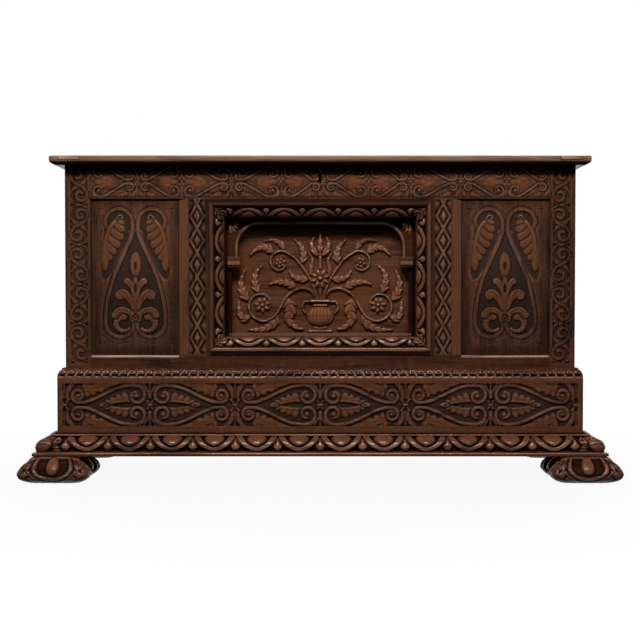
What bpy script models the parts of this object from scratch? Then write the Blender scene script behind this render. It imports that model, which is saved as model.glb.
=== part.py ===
"""Carved oak coffer: a joined chest on a moulded plinth with cushion feet and a hinged, cleated lid.

The frame of the model has +Z up and its front towards -Y. The origin lies on the floor under the
middle of the coffer's box. All sizes are in metres.
"""

import math

import bmesh
import bpy
from mathutils import Vector

MM = 0.001

# Overall chest
CARCASE_WIDTH = 1400 * MM
CARCASE_DEPTH = 530 * MM
FIT = 0.3 * MM  # clearance between pieces that are glued, pegged or slid together
LAP = 2 * MM  # how far a tenon or lug is sunk into its own piece before they are joined

# Heights, stacked from the floor up
FOOT_HEIGHT = 72 * MM
PLINTH_FILLET_HEIGHT = 11 * MM
OVOLO_HEIGHT = 36 * MM
TOP_FILLET_HEIGHT = 8 * MM
BASE_BOARD_HEIGHT = 151 * MM
ROPE_HEIGHT = 28 * MM
BOTTOM_RAIL_SHOWN = 34 * MM
OPENING_HEIGHT = 430 * MM
TOP_RAIL_HEIGHT = 92 * MM
LID_THICKNESS = 22 * MM
LID_GAP = 0.4 * MM

# Frame and panel joinery
STILE_WIDTH = 70 * MM
STILE_DEPTH = 70 * MM
RAIL_THICKNESS = 28 * MM
BOTTOM_RAIL_HEIGHT = 70 * MM
TENON_LENGTH = 30 * MM
TENON_THICKNESS = 10 * MM
TENON_SETBACK = 9 * MM
TENON_SHOULDER = 12 * MM
MUNTIN_TENON_LENGTH = 20 * MM
PANEL_THICKNESS = 14 * MM
PANEL_RECESS = 8 * MM
TONGUE_THICKNESS = 7 * MM
TONGUE_LENGTH = 9 * MM
GROOVE_DEPTH = 10 * MM

# Front muntins
CENTRE_OPENING_WIDTH = 628 * MM
MUNTIN_WIDTH = 74 * MM
MUNTIN_CHAMFER_WIDTH = 26 * MM
MUNTIN_CHAMFER_DEPTH = 6 * MM

# Framed picture panel in the middle of the front
FRAME_WIDTH = 42 * MM
FRAME_FILLET_WIDTH = 9 * MM
FRAME_PROUD = 12 * MM
FRAME_QUIRK_DEPTH = 4 * MM
FRAME_QUIRK_WIDTH = 2 * MM
FRAME_CREST_DROP = 4 * MM
FRAME_INNER_DROP = 10 * MM
ARCH_THICKNESS = 24 * MM
ARCH_LAP = 15 * MM
ARCH_HALF_WIDTH = 237 * MM
ARCH_SILL_HEIGHT = 60 * MM
ARCH_HEAD_DEPTH = 70 * MM
ARCH_RADIUS = 66 * MM
PICTURE_THICKNESS = 18 * MM
PICTURE_LAP = 28 * MM
PICTURE_JOINT_HEIGHT = 105 * MM

# Back frame
BACK_MUNTIN_WIDTH = 80 * MM

# Floor of the chest
FLOOR_THICKNESS = 15 * MM
FLOOR_DROP = 40 * MM
FLOOR_LAP = 8 * MM

# Plinth
BASE_BOARD_THICKNESS = 19 * MM
BASE_BACK_TENON = 12 * MM
ROPE_TOP_REACH = 8 * MM
ROPE_FILLET = 3 * MM
TOP_FILLET_REACH = 36 * MM
OVOLO_SHOULDER = 31 * MM
OVOLO_REACH = 67 * MM
OVOLO_FOOT_REACH = 63 * MM
OVOLO_BELLY_HEIGHT = 15 * MM
PLINTH_FILLET_REACH = 75.5 * MM

# Cushion feet
FOOT_TOP_WIDTH = 121 * MM
FOOT_BULGE = 31 * MM
FOOT_CORNER = 14 * MM
FOOT_BULGE_HEIGHT = 26 * MM
FOOT_SOLE_INSET = 32 * MM
FOOT_ARRIS_WIDTH = 9 * MM
FOOT_ARRIS_HEIGHT = 18 * MM

# Lid
LID_OVERHANG = 35 * MM
CLEAT_WIDTH = 80 * MM
CLEAT_TONGUE_LENGTH = 18 * MM
CLEAT_TONGUE_THICKNESS = 7 * MM
CLEAT_TONGUE_MARGIN = 30 * MM
LID_NOSE_TOP = 5 * MM
LID_NOSE_BOTTOM = 9 * MM

# Butt hinges
HINGE_SPAN = 900 * MM
HINGE_LENGTH = 84 * MM
HINGE_LEAF_WIDTH = 40 * MM
HINGE_LEAF_THICKNESS = 2.5 * MM
HINGE_LEAF_GAP = 0.6 * MM
KNUCKLE_RADIUS = 6 * MM
KNUCKLE_BACKSET = 0.6 * MM
KNUCKLE_GAP = 0.4 * MM
PIN_RADIUS = 3 * MM
PIN_CLEARANCE = 0.3 * MM
PIN_END = 2 * MM

# Chest lock
LOCK_PLATE_WIDTH = 110 * MM
LOCK_PLATE_HEIGHT = 66 * MM
LOCK_PLATE_THICKNESS = 2 * MM
LOCK_CASE_WIDTH = 100 * MM
LOCK_CASE_HEIGHT = 60 * MM
LOCK_CASE_DEPTH = 16 * MM
LOCK_WALL = 2 * MM
BOLT_THICKNESS = 5 * MM
BOLT_BAR_HEIGHT = 10 * MM
BOLT_ARM_WIDTH = 6 * MM
BOLT_STANDOFF = 1 * MM
BOLT_PRONG_HEIGHT = 5 * MM
BOLT_TRAVEL = 10 * MM
BOLT_TALON_WIDTH = 12 * MM
BOLT_TALON_DEPTH = 4 * MM
LINK_SPACING = 48 * MM
LINK_THICKNESS = 4 * MM
LINK_DEPTH = 8 * MM
LINK_DROP = 20 * MM
LINK_EYE_HEIGHT = 9 * MM
LINK_EYE_WALL = 3 * MM
LINK_SLOT_CLEARANCE = 2 * MM
LINK_PLATE_LENGTH = 70 * MM
LINK_PLATE_WIDTH = 15 * MM
LINK_PLATE_THICKNESS = 2 * MM
KEYHOLE_DROP = 30 * MM
KEYHOLE_RADIUS = 4.5 * MM
KEYHOLE_SLOT_WIDTH = 6 * MM
KEYHOLE_SLOT_LENGTH = 16 * MM
KEY_POST_RADIUS = 2 * MM
KEY_POST_LENGTH = 11 * MM
SPRING_THICKNESS = 1 * MM
SPRING_RISE = 24 * MM
SPRING_RUN = 16 * MM

# How finely round shapes are cut
ARC_STEPS = 8
ROUND_SIDES = 24

# Levels
PLINTH_TOP = FOOT_HEIGHT + PLINTH_FILLET_HEIGHT + OVOLO_HEIGHT + TOP_FILLET_HEIGHT
BASE_TOP = PLINTH_TOP + BASE_BOARD_HEIGHT
ROPE_TOP = BASE_TOP + ROPE_HEIGHT
OPENING_LOW = ROPE_TOP + BOTTOM_RAIL_SHOWN
OPENING_HIGH = OPENING_LOW + OPENING_HEIGHT
CARCASE_TOP = OPENING_HIGH + TOP_RAIL_HEIGHT
BOTTOM_RAIL_LOW = OPENING_LOW - BOTTOM_RAIL_HEIGHT
LID_LOW = CARCASE_TOP + LID_GAP
LID_HIGH = CARCASE_TOP + LID_THICKNESS

# Plan: the coffer is centred on its own box, from the front feet to the hinge knuckles
FOOT_REACH = PLINTH_FILLET_REACH + FOOT_BULGE
HINGE_REACH = 2 * KNUCKLE_RADIUS + KNUCKLE_BACKSET
FRONT = -(FOOT_REACH + CARCASE_DEPTH + HINGE_REACH) / 2 + FOOT_REACH
BACK = FRONT + CARCASE_DEPTH
SIDE = CARCASE_WIDTH / 2
STILE_INNER = SIDE - STILE_WIDTH
MUNTIN_INNER = CENTRE_OPENING_WIDTH / 2
MUNTIN_OUTER = MUNTIN_INNER + MUNTIN_WIDTH
HINGE_Y = BACK + KNUCKLE_BACKSET + KNUCKLE_RADIUS
HINGE_Z = CARCASE_TOP + LID_GAP / 2
LEFT, RIGHT = -1, 1
X_AXIS, Y_AXIS, Z_AXIS = Vector((1, 0, 0)), Vector((0, 1, 0)), Vector((0, 0, 1))


def clear_scene():
    """Removes every object, so the script can run again in an open file."""
    for obj in list(bpy.data.objects):
        bpy.data.objects.remove(obj)


def finish(name, colour, roughness, metallic=0.0):
    """One plain Principled material."""
    made = bpy.data.materials.new(name)
    made.use_nodes = True
    shader = made.node_tree.nodes["Principled BSDF"]
    shader.inputs["Base Color"].default_value = (*colour, 1.0)
    shader.inputs["Roughness"].default_value = roughness
    shader.inputs["Metallic"].default_value = metallic
    return made


def link(name, bm, origin, material, parent=None):
    """Turns a bmesh in world coordinates into a named object with its origin at the given point."""
    bmesh.ops.recalc_face_normals(bm, faces=bm.faces[:])
    bmesh.ops.translate(bm, verts=bm.verts[:], vec=-origin)
    mesh = bpy.data.meshes.new(name)
    bm.to_mesh(mesh)
    bm.free()
    obj = bpy.data.objects.new(name, mesh)
    bpy.context.scene.collection.objects.link(obj)
    obj.parent = parent
    obj.location = origin - (parent.location if parent else Vector())
    if material:
        mesh.materials.append(material)
    return obj


def box_bmesh(x, y, z):
    """A bmesh box from its three (low, high) spans."""
    bm = bmesh.new()
    bmesh.ops.create_cube(bm, size=1.0)
    low, high = (Vector(ends) for ends in zip(x, y, z))
    bmesh.ops.scale(bm, verts=bm.verts[:], vec=high - low)
    bmesh.ops.translate(bm, verts=bm.verts[:], vec=(low + high) / 2)
    return bm


def board(name, x, y, z, material, parent=None):
    """A square-edged board from its three (low, high) spans."""
    centre = Vector((sum(x) / 2, sum(y) / 2, sum(z) / 2))
    return link(name, box_bmesh(x, y, z), centre, material, parent)


def tool(bm):
    """A hidden helper that a Boolean cuts with or joins on."""
    obj = link("helper", bm, Vector(), None)
    obj.hide_render = True
    obj.display_type = "WIRE"
    return obj


def boolean(target, helper, operation):
    """Adds one exact Boolean step to the target."""
    step = target.modifiers.new(operation.lower(), "BOOLEAN")
    step.operation = operation
    step.solver = "EXACT"
    step.object = helper


def cut(target, x, y, z):
    """Cuts a square pocket out of the target."""
    boolean(target, tool(box_bmesh(x, y, z)), "DIFFERENCE")


def join(target, x, y, z):
    """Joins a square lug to the target."""
    boolean(target, tool(box_bmesh(x, y, z)), "UNION")


def prism_bmesh(outline, start, run):
    """A closed outline of points, drawn at start, extruded along run."""
    bm = bmesh.new()
    face = bm.faces.new([bm.verts.new(start + point) for point in outline])
    made = bmesh.ops.extrude_face_region(bm, geom=[face])
    moved = [v for v in made["geom"] if isinstance(v, bmesh.types.BMVert)]
    bmesh.ops.translate(bm, verts=moved, vec=run)
    bmesh.ops.recalc_face_normals(bm, faces=bm.faces[:])
    return bm


def rod_bmesh(centre, radius, run):
    """A round bar from centre along run."""
    along = run.normalized()
    across = Z_AXIS if abs(along.z) < 0.5 else X_AXIS
    other = along.cross(across)
    turns = [2 * math.pi * i / ROUND_SIDES for i in range(ROUND_SIDES)]
    outline = [across * radius * math.cos(t) + other * radius * math.sin(t) for t in turns]
    return prism_bmesh(outline, centre, run)


def arc(centre, radii, start, end, steps=ARC_STEPS):
    """Points of an elliptic arc in a plane, from one angle to another, in degrees."""
    turns = [math.radians(start + (end - start) * i / steps) for i in range(steps + 1)]
    return [(centre[0] + radii[0] * math.cos(t), centre[1] + radii[1] * math.sin(t)) for t in turns]


def moulding(name, profile, start, end, out, up, mitres, material):
    """A moulding run from start to end.

    The closed profile is a list of (out, up) points. Each end is square (0), or mitred so that it
    grows longer (1) or shorter (-1) with its reach.
    """
    along = (end - start).normalized()
    bm = bmesh.new()
    first = [start + out * o + up * u + along * (FIT / 2 - o * mitres[0]) for o, u in profile]
    face = bm.faces.new([bm.verts.new(point) for point in first])
    made = bmesh.ops.extrude_face_region(bm, geom=[face])
    length = (end - start).length - FIT
    for vert in (v for v in made["geom"] if isinstance(v, bmesh.types.BMVert)):
        reach = (vert.co - start).dot(out)
        vert.co += along * (length + reach * (mitres[0] + mitres[1]))
    return link(name, bm, (start + end) / 2, material)


def round_edges(obj, chosen, offset, segments=3):
    """Rounds the edges of an object's own mesh whose two corners both pass the test."""
    bm = bmesh.new()
    bm.from_mesh(obj.data)
    place = obj.location + (obj.parent.location if obj.parent else Vector())
    edges = [e for e in bm.edges if all(chosen(v.co + place) for v in e.verts)]
    bmesh.ops.bevel(
        bm, geom=edges, affect="EDGES", offset=offset, segments=segments, profile=0.5, material=-1
    )
    bm.to_mesh(obj.data)
    bm.free()


def grown(span, amount):
    """A (low, high) span made wider by an amount at both ends."""
    return (span[0] - amount, span[1] + amount)


def mirrored(span, side):
    """A (low, high) span on the right of the middle, put on the given side."""
    return span if side == RIGHT else (-span[1], -span[0])


def side_word(side):
    """The word for a side, as pieces are named."""
    return "left" if side == LEFT else "right"


def tenon_span(face, inward):
    """Where a tenon or its mortise lies in a frame's thickness, from the show face inwards."""
    ends = (face + inward * TENON_SETBACK, face + inward * (TENON_SETBACK + TENON_THICKNESS))
    return tuple(sorted(ends))


def groove_span(face, inward):
    """Where a panel's groove lies in a frame's thickness."""
    middle = face + inward * (PANEL_RECESS + PANEL_THICKNESS / 2)
    return grown((middle, middle), TONGUE_THICKNESS / 2 + FIT)


def rail_tenon_heights(low, high):
    """The height that a rail's tenon keeps inside its shoulders."""
    return (low + TENON_SHOULDER, high - TENON_SHOULDER)


def rail_levels():
    """The (low, high) heights of the bottom rails and of the top rails."""
    return {"bottom": (BOTTOM_RAIL_LOW, OPENING_LOW), "top": (OPENING_HIGH, CARCASE_TOP)}


def opening_heights():
    """The height between the rails."""
    return (OPENING_LOW, OPENING_HIGH)


def side_opening():
    """The depth between the stiles of an end frame."""
    return (FRONT + STILE_DEPTH, BACK - STILE_DEPTH)


def panel_opening():
    """The width of the right-hand front panel's opening."""
    return (MUNTIN_OUTER, STILE_INNER)


def tongued_panel(name, width, heights, face, inward, across, material):
    """A panel with a tongue all round: stepped faces in front and behind, set in the frame's grooves."""
    flat = grown(groove_span(face, inward), -FIT)
    spans = {"width": grown(width, TONGUE_LENGTH), "depth": flat}
    order = ("width", "depth") if across == "x" else ("depth", "width")
    bm = box_bmesh(spans[order[0]], spans[order[1]], grown(heights, TONGUE_LENGTH))
    normal = Y_AXIS if across == "x" else X_AXIS
    step = (PANEL_THICKNESS - TONGUE_THICKNESS) / 2
    bm.normal_update()
    for way in (1, -1):
        face_out = max(bm.faces, key=lambda f: f.normal.dot(normal) * way)
        bmesh.ops.inset_region(bm, faces=[face_out], thickness=TONGUE_LENGTH + FIT, use_even_offset=True)
        made = bmesh.ops.extrude_face_region(bm, geom=[face_out])
        raised = [v for v in made["geom"] if isinstance(v, bmesh.types.BMVert)]
        bmesh.ops.delete(bm, geom=[face_out], context="FACES_ONLY")
        bmesh.ops.translate(bm, verts=raised, vec=normal * way * step)
        bm.normal_update()
    middle = {"width": sum(width) / 2, "depth": sum(flat) / 2}
    return link(name, bm, Vector((middle[order[0]], middle[order[1]], sum(heights) / 2)), material)


def corner_stile(side, end, material):
    """One corner post, mortised for the rails of two frames and grooved for their panels."""
    face, inward, word = (FRONT, 1, "front") if end == "front" else (BACK, -1, "rear")
    depth = tuple(sorted((face, face + inward * STILE_DEPTH)))
    width = mirrored((STILE_INNER, SIDE), side)
    name = f"{word}_{side_word(side)}_stile"
    stile = board(name, width, depth, (FOOT_HEIGHT + FIT, CARCASE_TOP), material)
    inner = mirrored((STILE_INNER - LAP, STILE_INNER + TENON_LENGTH + FIT), side)
    groove = mirrored((STILE_INNER - LAP, STILE_INNER + GROOVE_DEPTH), side)
    inside = face + inward * STILE_DEPTH
    deep = tuple(sorted((inside + inward * LAP, inside - inward * (TENON_LENGTH + FIT))))
    slot = tuple(sorted((inside + inward * LAP, inside - inward * GROOVE_DEPTH)))
    sideways = grown(tenon_span(side * SIDE, -side), FIT)
    for low, high in rail_levels().values():
        heights = grown(rail_tenon_heights(low, high), FIT)
        cut(stile, inner, grown(tenon_span(face, inward), FIT), heights)
        cut(stile, sideways, deep, heights)
    heights = grown(opening_heights(), TONGUE_LENGTH + FIT)
    cut(stile, groove, groove_span(face, inward), heights)
    cut(stile, groove_span(side * SIDE, -side), slot, heights)
    if end == "rear":
        base_inner = mirrored((STILE_INNER - LAP, STILE_INNER + BASE_BACK_TENON + FIT), side)
        base_low, base_high = base_back_heights()
        cut(stile, base_inner, grown(base_back_tenon(), FIT), grown((base_low, base_high), FIT))
    return stile


def base_back_heights():
    """The height of the low board that closes the plinth behind."""
    return (PLINTH_TOP, BOTTOM_RAIL_LOW - FIT)


def base_back_tenon():
    """Where the low back board's tenon lies in the rear stiles."""
    return tenon_span(BACK, -1)


def long_rail(name, level, face, inward, muntins, grooves, material):
    """A front or back rail with a tenon at each end, mortised for its muntins."""
    low, high = rail_levels()[level]
    depth = tuple(sorted((face, face + inward * RAIL_THICKNESS)))
    rail = board(name, grown((-STILE_INNER, STILE_INNER), -FIT), depth, (low, high), material)
    tenon = tenon_span(face, inward)
    for side in (LEFT, RIGHT):
        reach = mirrored((STILE_INNER - FIT - LAP, STILE_INNER + TENON_LENGTH), side)
        join(rail, reach, tenon, rail_tenon_heights(low, high))
    edge, way = (high, -1) if level == "bottom" else (low, 1)
    mortise = tuple(sorted((edge - way * LAP, edge + way * (MUNTIN_TENON_LENGTH + FIT))))
    for span in muntins:
        cut(rail, grown(span, FIT - TENON_SHOULDER), grown(tenon, FIT), mortise)
    slot = tuple(sorted((edge - way * LAP, edge + way * GROOVE_DEPTH)))
    for span in grooves:
        cut(rail, grown(span, TONGUE_LENGTH + FIT), groove_span(face, inward), slot)
    return rail


def floor_groove(rail, x, y):
    """Cuts the groove that carries the floor boards."""
    cut(rail, x, y, grown(floor_heights(), FIT))


def floor_heights():
    """The height of the floor boards."""
    top = OPENING_LOW - FLOOR_DROP
    return (top - FLOOR_THICKNESS, top)


def end_rail(side, level, material):
    """A rail of one end frame, tenoned between the front and rear stiles."""
    low, high = rail_levels()[level]
    width = mirrored((SIDE - RAIL_THICKNESS, SIDE), side)
    inner_low, inner_high = side_opening()
    name = f"{side_word(side)}_{level}_rail"
    rail = board(name, width, grown((inner_low, inner_high), -FIT), (low, high), material)
    tenon = tenon_span(side * SIDE, -side)
    heights = rail_tenon_heights(low, high)
    join(rail, tenon, (inner_low - TENON_LENGTH, inner_low + FIT + LAP), heights)
    join(rail, tenon, (inner_high - FIT - LAP, inner_high + TENON_LENGTH), heights)
    edge, way = (high, -1) if level == "bottom" else (low, 1)
    slot = tuple(sorted((edge - way * LAP, edge + way * GROOVE_DEPTH)))
    cut(rail, groove_span(side * SIDE, -side), grown((inner_low, inner_high), LAP), slot)
    if level == "bottom":
        inside = SIDE - RAIL_THICKNESS
        reach = mirrored((inside - LAP, inside + FLOOR_LAP + FIT), side)
        floor_groove(rail, reach, grown((inner_low, inner_high), LAP))
    return rail


def front_muntin(side, material):
    """An upright between a carved panel and the picture, chamfered towards the panel."""
    outline = [
        (MUNTIN_INNER, RAIL_THICKNESS),
        (MUNTIN_INNER, 0),
        (MUNTIN_OUTER - MUNTIN_CHAMFER_WIDTH, 0),
        (MUNTIN_OUTER, MUNTIN_CHAMFER_DEPTH),
        (MUNTIN_OUTER, RAIL_THICKNESS),
    ]
    low, high = grown(opening_heights(), -FIT)
    points = [Vector((side * x, FRONT + y, low)) for x, y in outline]
    bm = prism_bmesh(points, Vector(), Z_AXIS * (high - low))
    centre = Vector((side * (MUNTIN_INNER + MUNTIN_OUTER) / 2, FRONT, (low + high) / 2))
    muntin = link(f"front_{side_word(side)}_muntin", bm, centre, material)
    width = mirrored(grown((MUNTIN_INNER, MUNTIN_OUTER), -TENON_SHOULDER), side)
    muntin_tenons(muntin, width, tenon_span(FRONT, 1))
    groove = mirrored((MUNTIN_OUTER - GROOVE_DEPTH, MUNTIN_OUTER + LAP), side)
    cut(muntin, groove, groove_span(FRONT, 1), grown((low, high), LAP))
    return muntin


def muntin_tenons(muntin, width, depth):
    """Joins a tenon to the foot and to the head of a muntin."""
    low, high = opening_heights()
    join(muntin, width, depth, (low - MUNTIN_TENON_LENGTH, low + FIT + LAP))
    join(muntin, width, depth, (high - FIT - LAP, high + MUNTIN_TENON_LENGTH))


def front_frame(oak):
    """The front: two rails, two muntins and two carved panels."""
    muntins = [mirrored((MUNTIN_INNER, MUNTIN_OUTER), side) for side in (LEFT, RIGHT)]
    openings = [mirrored(panel_opening(), side) for side in (LEFT, RIGHT)]
    inside = FRONT + RAIL_THICKNESS
    top = long_rail("front_top_rail", "top", FRONT, 1, muntins, openings, oak)
    cut_keyhole(top, grown((FRONT, inside), LAP))
    bottom = long_rail("front_bottom_rail", "bottom", FRONT, 1, muntins, openings, oak)
    floor_groove(bottom, grown((-SIDE, SIDE), LAP), (inside - FLOOR_LAP - FIT, inside + LAP))
    for side in (LEFT, RIGHT):
        front_muntin(side, oak)
        name = f"front_{side_word(side)}_panel"
        tongued_panel(name, mirrored(panel_opening(), side), opening_heights(), FRONT, 1, "x", oak)


def end_frames(oak):
    """The two ends: a top rail, a bottom rail and one panel each."""
    for side in (LEFT, RIGHT):
        for level in ("top", "bottom"):
            end_rail(side, level, oak)
        name = f"{side_word(side)}_panel"
        tongued_panel(name, side_opening(), opening_heights(), side * SIDE, -side, "y", oak)


def back_frame(oak):
    """The plain back: two rails, a middle muntin and two panels."""
    muntin = (-BACK_MUNTIN_WIDTH / 2, BACK_MUNTIN_WIDTH / 2)
    opening = (BACK_MUNTIN_WIDTH / 2, STILE_INNER)
    openings = [mirrored(opening, side) for side in (LEFT, RIGHT)]
    inside = BACK - RAIL_THICKNESS
    top = long_rail("back_top_rail", "top", BACK, -1, [muntin], openings, oak)
    bottom = long_rail("back_bottom_rail", "bottom", BACK, -1, [muntin], openings, oak)
    floor_groove(bottom, grown((-SIDE, SIDE), LAP), (inside - LAP, inside + FLOOR_LAP + FIT))
    heights = grown(opening_heights(), -FIT)
    upright = board("back_muntin", muntin, (inside, BACK), heights, oak)
    muntin_tenons(upright, grown(muntin, -TENON_SHOULDER), tenon_span(BACK, -1))
    for side in (LEFT, RIGHT):
        edge = BACK_MUNTIN_WIDTH / 2
        groove = mirrored((edge - GROOVE_DEPTH, edge + LAP), side)
        cut(upright, groove, groove_span(BACK, -1), grown(heights, LAP))
        name = f"back_{side_word(side)}_panel"
        tongued_panel(name, mirrored(opening, side), opening_heights(), BACK, -1, "x", oak)
    return top


def floor_boards(oak):
    """Two long boards in the bottom rails' grooves, notched round the stiles."""
    reach = SIDE - RAIL_THICKNESS + FLOOR_LAP
    front, back = FRONT + RAIL_THICKNESS - FLOOR_LAP, BACK - RAIL_THICKNESS + FLOOR_LAP
    middle = (front + back) / 2
    spans = {"front": (front, middle - FIT / 2), "rear": (middle + FIT / 2, back)}
    notches = {
        "front": (front - LAP, FRONT + STILE_DEPTH + FIT),
        "rear": (BACK - STILE_DEPTH - FIT, back + LAP),
    }
    for end, depth in spans.items():
        floor = board(f"floor_board_{end}", (-reach, reach), depth, floor_heights(), oak)
        for side in (LEFT, RIGHT):
            corner = mirrored((STILE_INNER - FIT, reach + LAP), side)
            cut(floor, corner, notches[end], grown(floor_heights(), LAP))


def frame_profile():
    """The picture frame's section: inward reach, and height towards the viewer from the rails' face."""
    drop = FRAME_INNER_DROP
    band_start = FRAME_FILLET_WIDTH + FRAME_QUIRK_WIDTH
    crest = FRAME_PROUD - FRAME_CREST_DROP
    quirk = crest - FRAME_QUIRK_DEPTH
    band = arc((band_start, -drop), (FRAME_WIDTH - band_start, crest + drop), 90, 0)
    return [
        (FIT, -RAIL_THICKNESS),
        (FIT, FRAME_PROUD),
        (FRAME_FILLET_WIDTH, FRAME_PROUD),
        (FRAME_FILLET_WIDTH, quirk),
        (band_start, quirk),
        *band,
        (FRAME_WIDTH, -RAIL_THICKNESS),
    ]


def picture_frame(oak):
    """Four mitred mouldings that line the middle opening."""
    low, high = opening_heights()
    corners = {
        "low_left": Vector((-MUNTIN_INNER, FRONT, low)),
        "low_right": Vector((MUNTIN_INNER, FRONT, low)),
        "high_left": Vector((-MUNTIN_INNER, FRONT, high)),
        "high_right": Vector((MUNTIN_INNER, FRONT, high)),
    }
    runs = {
        "top": ("high_left", "high_right", -Z_AXIS),
        "bottom": ("low_left", "low_right", Z_AXIS),
        "left": ("low_left", "high_left", X_AXIS),
        "right": ("low_right", "high_right", -X_AXIS),
    }
    for word, (start, end, inwards) in runs.items():
        ends = (corners[start], corners[end])
        moulding(f"centre_frame_{word}", frame_profile(), *ends, inwards, -Y_AXIS, (-1, -1), oak)


def arch_outline():
    """The picture's opening: a flat sill, upright sides and rounded upper corners."""
    low = OPENING_LOW + ARCH_SILL_HEIGHT
    high = OPENING_HIGH - ARCH_HEAD_DEPTH
    inset = ARCH_HALF_WIDTH - ARCH_RADIUS
    radii = (ARCH_RADIUS, ARCH_RADIUS)
    right = arc((inset, high - ARCH_RADIUS), radii, 0, 90)
    left = arc((-inset, high - ARCH_RADIUS), radii, 90, 180)
    return [(-ARCH_HALF_WIDTH, low), (ARCH_HALF_WIDTH, low), *right, *left]


def picture(oak):
    """The arched surround behind the frame, and the two boards of the picture behind that."""
    low, high = opening_heights()
    inside = FRONT + RAIL_THICKNESS + FIT
    behind = inside + ARCH_THICKNESS
    width = MUNTIN_INNER + ARCH_LAP
    heights = grown((low, high), ARCH_LAP)
    arch = board("centre_arch", (-width, width), (inside, behind), heights, oak)
    points = [Vector((x, inside - LAP, z)) for x, z in arch_outline()]
    run = Y_AXIS * (ARCH_THICKNESS + 2 * LAP)
    boolean(arch, tool(prism_bmesh(points, Vector(), run)), "DIFFERENCE")
    half = ARCH_HALF_WIDTH + PICTURE_LAP
    depth = (behind + FIT, behind + FIT + PICTURE_THICKNESS)
    joint = low + PICTURE_JOINT_HEIGHT
    sill, head = low + ARCH_SILL_HEIGHT, high - ARCH_HEAD_DEPTH
    lower = (sill - PICTURE_LAP, joint - FIT / 2)
    upper = (joint + FIT / 2, head + PICTURE_LAP)
    board("centre_panel_lower", (-half, half), depth, lower, oak)
    board("centre_panel_upper", (-half, half), depth, upper, oak)


def around_plinth(stem, profile, base, oak):
    """A moulding round the front and both ends, mitred at the front corners and square behind."""
    left, right = Vector((-SIDE, FRONT, base)), Vector((SIDE, FRONT, base))
    moulding(f"{stem}_front", profile, left, right, -Y_AXIS, Z_AXIS, (1, 1), oak)
    for side, corner in ((LEFT, left), (RIGHT, right)):
        rear = Vector((corner.x, BACK, base))
        out = X_AXIS * side
        moulding(f"{stem}_{side_word(side)}", profile, corner, rear, out, Z_AXIS, (1, 0), oak)


def base_board_profile():
    """The plinth board's section."""
    reach = FIT + BASE_BOARD_THICKNESS
    height = BASE_BOARD_HEIGHT
    return [(FIT, 0), (reach, 0), (reach, height), (FIT, height)]


def rope_profile():
    """The rope moulding's section: a fillet above a swelling slope."""
    reach = FIT + BASE_BOARD_THICKNESS
    swell_top = ROPE_HEIGHT - ROPE_FILLET
    radii = (reach - ROPE_TOP_REACH, swell_top - FIT)
    swell = arc((ROPE_TOP_REACH, FIT), radii, 0, 90)
    return [(FIT, FIT), *swell, (ROPE_TOP_REACH, ROPE_HEIGHT), (FIT, ROPE_HEIGHT)]


def lunette_profile():
    """The plinth moulding's section: a fillet, a bold ovolo and a wider fillet underneath."""
    low = PLINTH_FILLET_HEIGHT
    high = low + OVOLO_HEIGHT
    top = high + TOP_FILLET_HEIGHT - FIT
    swell = arc(
        (OVOLO_SHOULDER, low + OVOLO_BELLY_HEIGHT),
        (OVOLO_REACH - OVOLO_SHOULDER, OVOLO_HEIGHT - OVOLO_BELLY_HEIGHT),
        0,
        90,
    )
    return [
        (FIT, FIT),
        (PLINTH_FILLET_REACH, FIT),
        (PLINTH_FILLET_REACH, low),
        (OVOLO_FOOT_REACH, low),
        *swell,
        (TOP_FILLET_REACH, high),
        (TOP_FILLET_REACH, top),
        (FIT, top),
    ]


def foot_profile():
    """The cushion foot's section: (half width, height) from the sole up."""
    widest = FOOT_TOP_WIDTH / 2 + FOOT_BULGE
    belly = FOOT_BULGE_HEIGHT
    radii = (FOOT_ARRIS_WIDTH, FOOT_ARRIS_HEIGHT)
    lower = arc((widest - FOOT_ARRIS_WIDTH, belly), radii, -70, 0, 4)
    upper = arc((FOOT_TOP_WIDTH / 2, belly), (FOOT_BULGE, FOOT_HEIGHT - belly), 15, 90, 6)
    return [(widest - FOOT_SOLE_INSET, 0.0), *lower, *upper]


def cushion_foot(name, x, y, oak):
    """One foot, drawn up from a round-cornered sole in steps."""
    profile = foot_profile()
    bm = bmesh.new()
    bmesh.ops.create_grid(bm, x_segments=1, y_segments=1, size=profile[0][0])
    bmesh.ops.bevel(
        bm, geom=bm.verts[:], affect="VERTICES", offset=FOOT_CORNER, segments=3, profile=0.5, material=-1
    )
    cap = bm.faces[:]
    for (half, height), (next_half, next_height) in zip(profile, profile[1:]):
        made = bmesh.ops.extrude_face_region(bm, geom=cap)
        verts = [v for v in made["geom"] if isinstance(v, bmesh.types.BMVert)]
        if height > 0:
            bmesh.ops.delete(bm, geom=cap, context="FACES_ONLY")
        cap = [f for f in made["geom"] if isinstance(f, bmesh.types.BMFace)]
        ratio = next_half / half
        bmesh.ops.scale(bm, verts=verts, vec=(ratio, ratio, 1))
        bmesh.ops.translate(bm, verts=verts, vec=Z_AXIS * (next_height - height))
    bmesh.ops.translate(bm, verts=bm.verts[:], vec=Vector((x, y, 0)))
    return link(name, bm, Vector((x, y, 0)), oak)


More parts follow.
